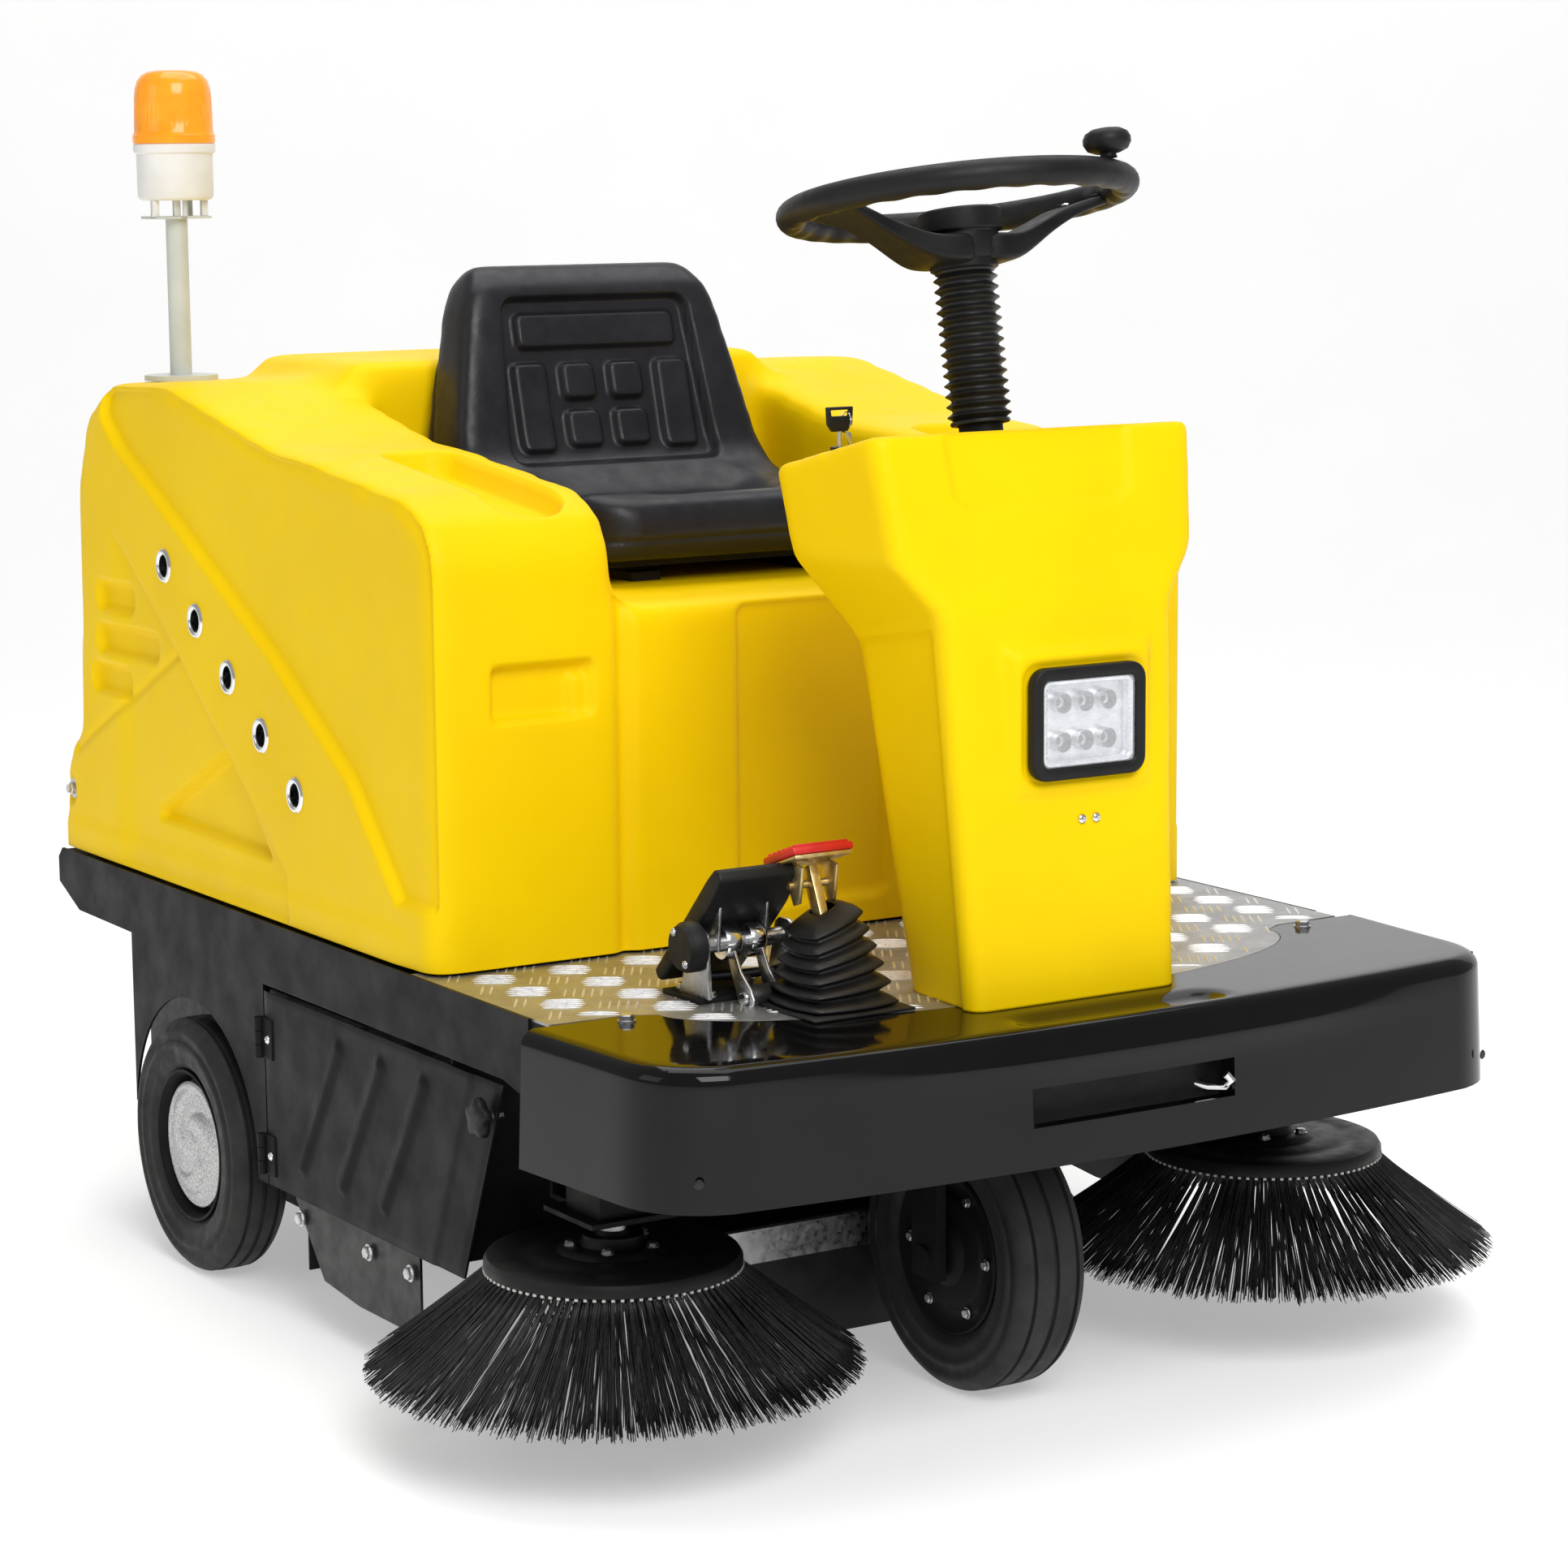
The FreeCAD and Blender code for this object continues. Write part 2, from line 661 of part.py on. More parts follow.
def dash_frame(x, y, lift):
    """A point on the sloping top of the console head, and the slope's turn."""
    z = 1005 - 0.24 * (y - float(s.console_front_y)) + lift
    return (x, y, z), Rotation(X_AXIS, -math.degrees(math.atan(0.24)))


def make_dash():
    at, turn = dash_frame(-52, -528, 0.3)
    panel = box((0, 0, 0), (212, 104, 4))
    pocket = box((88, 40, -1), (26.6, 18.6, 6))
    horn_bore = rod(11.5, 6, (130, 64, -1))
    gauge = rod(24, 3, (178, 56, 4))
    column_hole = along_column(rod(s.column_r + 4, 620, (0, 0, 0)))
    moved = cut(move(fuse(cut(panel, pocket, horn_bore), gauge), at, turn), column_hole)
    lock = tube(9, 3, 30, (-150, -462, 938))
    part(group(moved, lock), "dash_panel")
    rocker = box((88.3, 40.8, 1.8), (26, 17, 6))
    part(move(group(rocker), at, turn), "direction_rocker")
    horn = rod(11.2, 6, (130, 64, 3.4))
    part(move(group(horn), at, turn), "horn_button")


def make_key():
    blade = rod(2.5, 28, (-150, -462, 957))
    bow = box((-164, -464, 984), (28, 4, 22))
    part(fuse(blade, bow), "ignition_key")


def make_headlight():
    x, y, z = s.lamp_x, s.lamp_y, s.lamp_z
    bezel = rounded(
        Part.makeBox(135, 13, 110, Vector(x - 67.5, y, z - 55)), 16,
        lambda e: e.Length < 14 and abs(e.tangentAt(e.FirstParameter).y) > 0.99,
    )
    back = Part.makeBox(108, 44, 84, Vector(x - 54, y + 12.5, z - 42))
    hollow = Part.makeBox(106, 40, 82, Vector(x - 53, y - 1.5, z - 41))
    part(shaped(bezel.fuse(back).cut(hollow)), "headlight_housing")
    part(box((x - 52.6, y - 0.5, z - 40.6), (105.2, 5, 81.2)), "headlight_lens")


def make_accelerator():
    x, y, z = s.pedal_x, s.pedal_y, s.pedal_z
    base = box((x - 58, y - 12, s.deck_z), (108, 70, 5))
    ears = []
    for low in (-52, 47):
        ear = plate("YZ_Plane", [(-20, -52), (34, -52), (16, 12), (-16, 12)], 5, (x + low, y, z))
        ears.append(ear)
    sensor = rod(24, 20, (x - 74, y, z), "X")
    stop = box((x - 12, y - 12, s.deck_z + 5), (24, 20, 18))
    part(group(fuse(base, *ears, sensor, stop), brake_cheeks()), "pedal_brackets")
    sleeve = rod(9, 93, (x - 46.5, y, z), "X")
    arms = []
    for low in (-34, 20):
        outline = [(-8, -6), (8, -8), (14, 34), (4, 58), (-10, 58)]
        arms.append(plate("YZ_Plane", outline, 14, (x + low, y, z)))
    tread = plate("YZ_Plane", [(94, -40), (-18, 72), (-26, 64), (86, -48)], 92, (x - 46, y, z))
    part(fuse(sleeve, *arms, tread), "accelerator_pedal")


def brake_cheeks():
    """Two bearing plates under the deck for the brake's pivot pin."""
    x, y, z = s.brake_x, s.brake_y, s.brake_z
    cheeks = [box((x + low, y - 12, z - 14), (6, 24, 33)) for low in (-30, 24)]
    hole = rod(7 + s.run_gap, 62, (x - 31, y, z), "X")
    return cut(fuse(*cheeks), hole)


def make_brake():
    x, y, z = s.brake_x, s.brake_y, s.brake_z
    pin = rod(7, 60, (x - 30, y, z), "X")
    stem = plate("YZ_Plane", [(-8, -6), (10, -6), (26, 60), (62, 146), (48, 152), (10, 66)],
                 12, (x - 6, y, z))
    sleeve = rod(14, 34, (x - 17, y, z), "X")
    pad = plate("YZ_Plane", [(26, 152), (84, 166), (80, 176), (24, 162)], 88, (x - 44, y, z))
    part(group(fuse(pin, stem, sleeve), pad), "brake_pedal")
    slices = [(0, 56), (14, 44), (20, 52), (34, 38), (40, 46), (54, 30), (60, 36), (78, 24)]
    section = [(24, 0)] + [(r, h) for h, r in slices] + [(18, 78)]
    wire = Part.makePolygon([Vector(r, 0, h) for r, h in section + section[:1]])
    boot = Part.Face(wire).revolve(Vector(), Z_AXIS, 360)
    lean = Rotation(X_AXIS, -30)
    solid = boot.transformed(FreeCAD.Placement(Vector(), lean).toMatrix())
    floor = Part.makeBox(200, 200, 100, Vector(-100, -100, -100))
    solid = solid.cut(floor)
    part(shaped(solid, (x, y - 5, s.deck_z)), "brake_boot")


# ---------------------------------------------------------------- brushes

def bristle_shell():
    """A flared ring of bristles, closed at the disc and open underneath."""
    height = float(s.disc_z - s.tip_z)
    inner, outer = float(s.disc_r) - 18, float(s.brush_r)
    section = [(inner, height), (inner + 14, height), (outer, 6), (outer - 8, 0), (outer - 26, 8)]
    wire = Part.makePolygon([Vector(r, 0, h) for r, h in section + section[:1]])
    return Part.Face(wire).revolve(Vector(), Z_AXIS, 360)


def make_side_brushes():
    y, z = s.brush_y, s.disc_z
    for name, side in SIDES:
        x = s.brush_x * side
        disc = fuse(rod(s.disc_r, 14, (x, y, z)), cone(s.disc_r, s.disc_r - 8, 4, (x, y, z + 14)))
        hub = rod(30, 14, (x, y, z + 18))
        shaft = rod(9, 60, (x, y, z + 18))
        part(fuse(cut(disc, rod(4, 20, (x, y, z - 1))), hub, shaft), f"side_brush_disc_{name}")
        part(shaped(bristle_shell(), (x, y, s.tip_z)), f"side_bristles_{name}")
        sole = box((x - 48, y - 44, 232), (96, 96, 5))
        case = box((x - 33, y - 33, 237), (66, 66, 52))
        motor = rod(36, 60, (x, y, 289))
        arm_low = x - 20
        arm = box((arm_low, y + 52, 232), (40, 38, 5))
        riser = box((arm_low, y + 84, 237), (40, 6, 80))
        slide = tube(14, 9 + s.run_gap, 110, (x, y + 100, 252))
        bore = rod(9 + s.run_gap, 118, (x, y, 231))
        part(fuse(cut(fuse(sole, arm, case, motor), bore), riser, slide), f"brush_lift_{name}")


def make_main_brush():
    half = s.broom_half
    at = (-half, s.broom_y, s.broom_z)
    core = rod(48, 2 * half, at, "X")
    ends = rod(14, 2 * half + 70, (-half - 35, s.broom_y, s.broom_z), "X")
    pulley = rod(45, 16, (half + 18, s.broom_y, s.broom_z), "X")
    rows = []
    for i in range(8):
        around = Rotation(X_AXIS, i * 45)
        spot = around.multVec(Vector(0, -7, 48))
        row = box((-half, s.broom_y + spot.y, s.broom_z + spot.z),
                  (2 * half, 14, s.broom_r - 48), around)
        rows.append(row)
    part(group(fuse(core, ends, pulley), *rows), "main_brush")


def make_drive():
    """Brush motor above the brush housing, with its pulley and belt."""
    motor_y, motor_z = s.broom_y + 110, 358
    part(rod(32, 150, (200, motor_y, motor_z), "X"), "brush_motor")
    shaft = rod(6, 8, (350.3, motor_y, motor_z), "X")
    pulley = rod(22, 16, (358, motor_y, motor_z), "X")
    part(fuse(shaft, pulley), "motor_pulley")
    run_y, run_z = 110, motor_z - float(s.broom_z)
    band = loop_band(45.4, 22.4, math.hypot(run_y, run_z), 4, 10)
    across = Rotation(Vector(0, run_y, run_z), Vector(0, -run_z, run_y), X_AXIS, "XZY")
    part(shaped(band, (361, s.broom_y, s.broom_z), across), "drive_belt")


def make_hopper():
    width, front, rear, low, high = 780, 110, 716, 70, 312
    outer = Part.makeBox(width, rear - front, high - low, Vector(-width / 2, front, low))
    inner = Part.makeBox(width - 8, rear - front - 8, high - low, Vector(-width / 2 + 4, front + 4, low + 4))
    mouth = Part.makeBox(width - 60, 20, 120, Vector(-width / 2 + 30, front - 10, low + 60))
    grip = Part.makeBox(200, 8, 16, Vector(-100, rear + 24, 250))
    legs = [Part.makeBox(12, 34, 16, Vector(x, rear - 2, 250)) for x in (-100, 88)]
    shape = outer.cut(inner).cut(mouth)
    for piece in legs + [grip]:
        shape = shape.fuse(piece)
    part(shaped(shape), "dust_hopper")


def make_batteries():
    blocks = []
    for low_x in (-345, 5):
        for low_y in (-140, 110):
            blocks.append(box((low_x, low_y, s.deck_z), (340, 220, 220)))
    part(group(*blocks), "batteries")


# ---------------------------------------------------------------- doors

def make_doors():
    """Side doors over the main brush, hinged at their rear edge, with a star knob in front."""
    outline = [(173, 360), (-372, 360), (-280, 141), (152, 141), (173, 150)]
    for name, side in SIDES:
        low_x = s.side_x - s.sheet_t if side > 0 else -s.side_x
        sheet = plate("YZ_Plane", outline, s.sheet_t, (low_x, 0, 0))
        ribs = []
        for rib_y in (105, 0, -105):
            shape = [(rib_y, 320), (rib_y - 14, 320), (rib_y - 44, 180), (rib_y - 30, 180)]
            rib_x = s.side_x - 0.2 if side > 0 else -s.side_x - 3.8
            ribs.append(plate("YZ_Plane", shape, 4, (rib_x, 0, 0)))
        knuckles = []
        for low_z in (283, 153):
            knuckles.append(rod(5, 45, ((s.side_x + 5.5) * side, 177, low_z)))
            for leaf_y, wide, gap in ((150, 22, -0.5), (150, 27, 0.4)):
                leaf_x = s.side_x + gap if side > 0 else -s.side_x - 4
                knuckles.append(box((leaf_x, leaf_y, low_z), (4 - gap, wide, 45)))
        stud_x = s.side_x - 6 if side > 0 else -s.side_x - 14
        bore = rod(4, 20, (stud_x, -348, 322), "X")
        part(cut(fuse(sheet, *ribs, *knuckles), bore), f"side_door_{name}")
        stem_x = s.side_x - 12 if side > 0 else -s.side_x - 12
        stem = rod(3.94, 24, (stem_x, -348, 322), "X")
        head_x = s.side_x + 6 if side > 0 else -s.side_x - 20
        head = rod(13, 14, (head_x, -348, 322), "X")
        lobes = []
        for i in range(5):
            turn = 2 * math.pi * i / 5
            spot = (head_x, -348 + 15 * math.cos(turn), 322 + 15 * math.sin(turn))
            lobes.append(rod(6, 14, spot, "X"))
        part(fuse(stem, head, *lobes), f"door_knob_{name}")


# ---------------------------------------------------------------- body cover, seat and beacon

def cover_side(inset):
    """Side outline (y, z) of the moulded cover; inset moves it inwards by the wall."""
    t = inset
    front, low = float(s.cover_front_y), float(s.cover_z)
    return [
        (front + t, low - 4 * t), (front + t, 850), (front + 22 + t, 893 - t), (-150, 914 - t),
        (88, 941 - t), (167, 947 - t), (434, 1003 - t), (590, 994 - t), (650 - t, 960 - t),
        (684 - t, 880), (697 - t, 560), (742 - t, 520 - t), (742 - t, low - 4 * t),
    ]


def cover_block(inset):
    half = float(s.cover_x) - inset
    block = side_prism(cover_side(inset), half)
    bay_half = float(s.bay_x) + inset
    floor = float(s.platform_z) - inset
    bay = Part.makeBox(2 * bay_half, 600, 400, Vector(-bay_half, -240 - inset, floor))
    bay_back = 350 + inset
    bay = bay.common(Part.makeBox(2000, bay_back + 400, 900, Vector(-1000, -400, 300)))
    hump = side_prism([(350 + inset, 900), (350 + inset, 1020 - inset), (620, 1020 - inset), (660 - inset, 900)],
                      320 - inset)
    block = block.cut(bay).fuse(hump)
    if inset:
        return block

    def is_outer(edge):
        box_ = edge.BoundBox
        on_side = abs(abs(edge.CenterOfMass.x) - half) < 0.1 and box_.XMax - box_.XMin < 0.1
        return on_side and edge.CenterOfMass.z > 560

    return rounded(block, 22, is_outer)


def make_cover():
    shell = cover_block(0).cut(cover_block(float(s.cover_t)))
    for x, y, z in grommet_spots():
        for side in (-1, 1):
            hole = Part.makeCylinder(13, 60, Vector(side * 500, y, z), Vector(-side, 0, 0))
            shell = shell.cut(hole)
    for side in (-1, 1):
        start = Vector(side * 500, float(s.hinge_y), float(s.hinge_z))
        shell = shell.cut(Part.makeCylinder(5.05, 60, start, Vector(-side, 0, 0)))
        notch_x = 432 if side > 0 else -451
        shell = shell.cut(Part.makeBox(19, 70, 140, Vector(notch_x, 690, 390)))
    part(shaped(shell), "body_cover")


def grommet_spots():
    """Five ringed holes that step down the side along a slanting line."""
    return [(0, 426 - 82 * i, 799 - 54.5 * i) for i in range(5)]


def make_grommets():
    rings = []
    for _, y, z in grommet_spots():
        for _, side in SIDES:
            start = (s.cover_x + 0.2) * side if side > 0 else -s.cover_x - 3.2
            rings.append(tube(19, 12.6, 3, (start, y, z), "X"))
    part(group(*rings), "cover_grommets")


def make_cover_hinge():
    pins = []
    for _, side in SIDES:
        low_x = 446.5 if side > 0 else -s.cover_x - 2
        pins.append(rod(5, 33.5, (low_x, s.hinge_y, s.hinge_z), "X"))
        bracket_x = 436.5 if side > 0 else -446.5
        pins.append(box((bracket_x, s.hinge_y - 16, s.deck_z - s.sheet_t), (10, 20, 80)))
    part(group(*pins), "cover_hinges")


def make_seat():
    rails = [box((x, -20, s.platform_z), (36, 300, 10)) for x in (-130, 94)]
    part(group(*rails), "seat_rails")
    half = float(s.seat_half)
    z = float(s.platform_z) + 10.4
    runners = [Part.makeBox(30, 260, 8, Vector(x, 0, z)) for x in (-127, 97)]
    pan = Part.makeBox(2 * half - 30, 340, 8, Vector(-half + 15, -40, z + 8))
    for piece in runners:
        pan = pan.fuse(piece)
    part(shaped(pan), "seat_base")
    low = z + 16.4
    side = [(-74, low + 22), (-58, low), (300, low), (338, low + 94), (346, 1106), (318, 1122),
            (288, 1104), (236, 900), (196, 872), (-50, 862)]
    cushion = side_prism(side, half)
    cushion = rounded(cushion, 9, lambda e: e.BoundBox.XLength < 0.1)
    part(shaped(cushion), "seat")


def make_beacon():
    x, y = -s.pole_x, s.pole_y
    flange = rod(42, 6, (x, y, 999.6))
    pole = rod(12.5, 184, (x, y, 999.6))
    bracket = box((x - 34, y - 22, 1183), (68, 44, 3))
    stands = [rod(3, 18, (x + 26 * math.cos(a), y + 26 * math.sin(a), 1186))
              for a in (0.5, 2.6, 4.7)]
    part(fuse(flange, pole, bracket, *stands), "beacon_pole")
    part(turned([(0, 0), (43, 0), (43, 54), (46.5, 56), (46.5, 64), (0, 64)], (x, y, 1204)),
         "beacon_base")
    part(turned([(38, 0), (46.5, 0), (46.5, 8), (44.5, 10), (44, 60), (38, 76), (24, 82),
                 (0, 82), (0, 79), (23, 79), (35, 73), (38, 58)], (x, y, 1268.1)), "beacon_dome")


def make_fasteners():
    heads = []
    for _, side in SIDES:
        for x, y, z in ((415, -491, 434),):
            heads.append(rod(8, 5, (x * side, y, z)))
        low_x = s.side_x - 3 if side > 0 else -s.side_x - 4
        for y in (93, -70, -165):
            heads.append(rod(6, 7, (low_x, y, 120), "X"))
    for x in (14, 31):
        heads.append(rod(5, 3, (x, s.console_front_y + 14, 609), "Y",
                         Rotation(Z_AXIS, Vector(0, -1, 0))))
    part(group(*heads), "bolts_and_screws")


for make in (
    make_frame, make_side_plates, make_deck, make_bumper, make_brush_housing,
    make_dust_flap, make_skirts, make_rear_wheels, make_front_wheel, make_steering,
    make_steering_wheel, make_console, make_dash, make_key, make_headlight, make_accelerator,
    make_brake, make_side_brushes, make_main_brush, make_drive, make_hopper, make_batteries,
    make_doors, make_cover, make_grommets, make_cover_hinge, make_seat, make_beacon,
    make_fasteners,
):
    make()
doc.recompute()

for obj in doc.Objects:
    if "Invalid" in obj.State or "Error" in obj.State:
        raise RuntimeError(f"{obj.Label} failed: {obj.State}")
os.makedirs("parts", exist_ok=True)
for obj in PARTS:
    if obj.Shape.isNull() or not obj.Shape.isValid() or not obj.Shape.Solids:
        raise RuntimeError(f"{obj.Label} has no valid solid")
    obj.Shape.exportStep(f"parts/{obj.Label}.step")
print(len(PARTS), "sub-parts written")
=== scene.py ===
import math
import random

import bmesh
import bpy
import numpy as np
from mathutils import Matrix, Vector


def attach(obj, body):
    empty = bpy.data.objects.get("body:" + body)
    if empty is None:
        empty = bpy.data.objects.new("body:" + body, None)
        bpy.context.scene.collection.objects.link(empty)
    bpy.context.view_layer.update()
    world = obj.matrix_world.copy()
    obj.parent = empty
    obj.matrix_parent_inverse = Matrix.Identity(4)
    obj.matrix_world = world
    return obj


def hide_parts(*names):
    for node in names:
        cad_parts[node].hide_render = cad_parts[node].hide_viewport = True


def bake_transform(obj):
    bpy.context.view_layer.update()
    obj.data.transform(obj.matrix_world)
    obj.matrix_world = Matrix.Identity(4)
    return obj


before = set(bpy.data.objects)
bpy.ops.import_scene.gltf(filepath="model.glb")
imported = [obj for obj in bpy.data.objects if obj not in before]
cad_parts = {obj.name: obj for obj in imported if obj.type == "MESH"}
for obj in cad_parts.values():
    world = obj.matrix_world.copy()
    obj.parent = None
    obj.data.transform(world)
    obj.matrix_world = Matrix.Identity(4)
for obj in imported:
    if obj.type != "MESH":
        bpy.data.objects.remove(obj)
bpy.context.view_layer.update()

MM = 0.001
SIDES = (("right", -1), ("left", 1))

# Places that several pieces share, in millimetres: x to the left, y to the rear, z up.
DECK_TOP = 434
COVER_HALF = 478
SIDE_PLATE_X = 487
GROMMET_TOP = (426, 799)
GROMMET_PITCH = (82, 54.5)
LAMP = (15, -652, 706)
KEY = (-150, -462)
COLUMN_FOOT_Y = -587.6
COLUMN_LEAN = math.radians(10.3)
WHEEL_RADIUS = 145
REAR_WHEEL = (468.5, 368)
FRONT_WHEEL_Y = -475
SIDE_BRUSH = (405, -441)
BROOM = (-75, 152)
BEACON = (-400, 540)
THROTTLE = (-262, -455, 490)
BRAKE = (-200, -535, 412)


# ---------------------------------------------------------------- materials

class Shader:
    """A node material built around one Principled shader."""

    def __init__(self, name, color, roughness, metallic=0.0, **sockets):
        self.name = name
        self.material = bpy.data.materials.new("look_" + name)
        self.material.use_nodes = True
        self.tree = self.material.node_tree
        self.main = self.tree.nodes["Principled BSDF"]
        self.main.inputs["Base Color"].default_value = (*color, 1)
        self.main.inputs["Roughness"].default_value = roughness
        self.main.inputs["Metallic"].default_value = metallic
        for socket, value in sockets.items():
            self.main.inputs[socket.replace("_", " ")].default_value = value
        self.place = self.node("ShaderNodeTexCoord").outputs["Object"]
        self.height = None

    def node(self, kind, **values):
        """New node with its inputs or settings filled in."""
        made = self.tree.nodes.new(kind)
        for key, value in values.items():
            if key in made.inputs:
                made.inputs[key].default_value = value
            else:
                setattr(made, key, value)
        return made

    def link(self, source, target):
        self.tree.links.new(source, target)

    def noise(self, scale, detail, stretch=None):
        made = self.node("ShaderNodeTexNoise", Scale=scale, Detail=detail, Roughness=0.55)
        if stretch:
            mapping = self.node("ShaderNodeMapping")
            mapping.inputs["Scale"].default_value = stretch
            self.link(self.place, mapping.inputs["Vector"])
            self.link(mapping.outputs["Vector"], made.inputs["Vector"])
        else:
            self.link(self.place, made.inputs["Vector"])
        return made.outputs["Fac"]

    def cells(self, scale):
        made = self.node("ShaderNodeTexVoronoi", Scale=scale, feature="F1")
        self.link(self.place, made.inputs["Vector"])
        return made.outputs["Distance"]

    def ramp(self, source, low, high, value_low, value_high):
        made = self.node("ShaderNodeMapRange")
        made.inputs["From Min"].default_value = low
        made.inputs["From Max"].default_value = high
        made.inputs["To Min"].default_value = value_low
        made.inputs["To Max"].default_value = value_high
        self.link(source, made.inputs["Value"])
        return made.outputs["Result"]

    def tint(self, source, low_color, high_color):
        """Base colour that wanders between two tones."""
        made = self.node("ShaderNodeValToRGB")
        for element, position, color in zip(made.color_ramp.elements, (0.3, 0.7), (low_color, high_color)):
            element.position = position
            element.color = (*color, 1)
        self.link(source, made.inputs["Fac"])
        self.link(made.outputs["Color"], self.main.inputs["Base Color"])

    def gloss(self, source, smooth, rough, low=0.3, high=0.7):
        """Roughness that wanders between two values."""
        self.link(self.ramp(source, low, high, smooth, rough), self.main.inputs["Roughness"])

    def bump(self, source, strength, distance):
        """Fine relief, laid over the one before it."""
        made = self.node("ShaderNodeBump", Strength=strength, Distance=distance)
        self.link(source, made.inputs["Height"])
        if self.height is not None:
            self.link(self.height, made.inputs["Normal"])
        self.height = made.outputs["Normal"]
        self.link(self.height, self.main.inputs["Normal"])


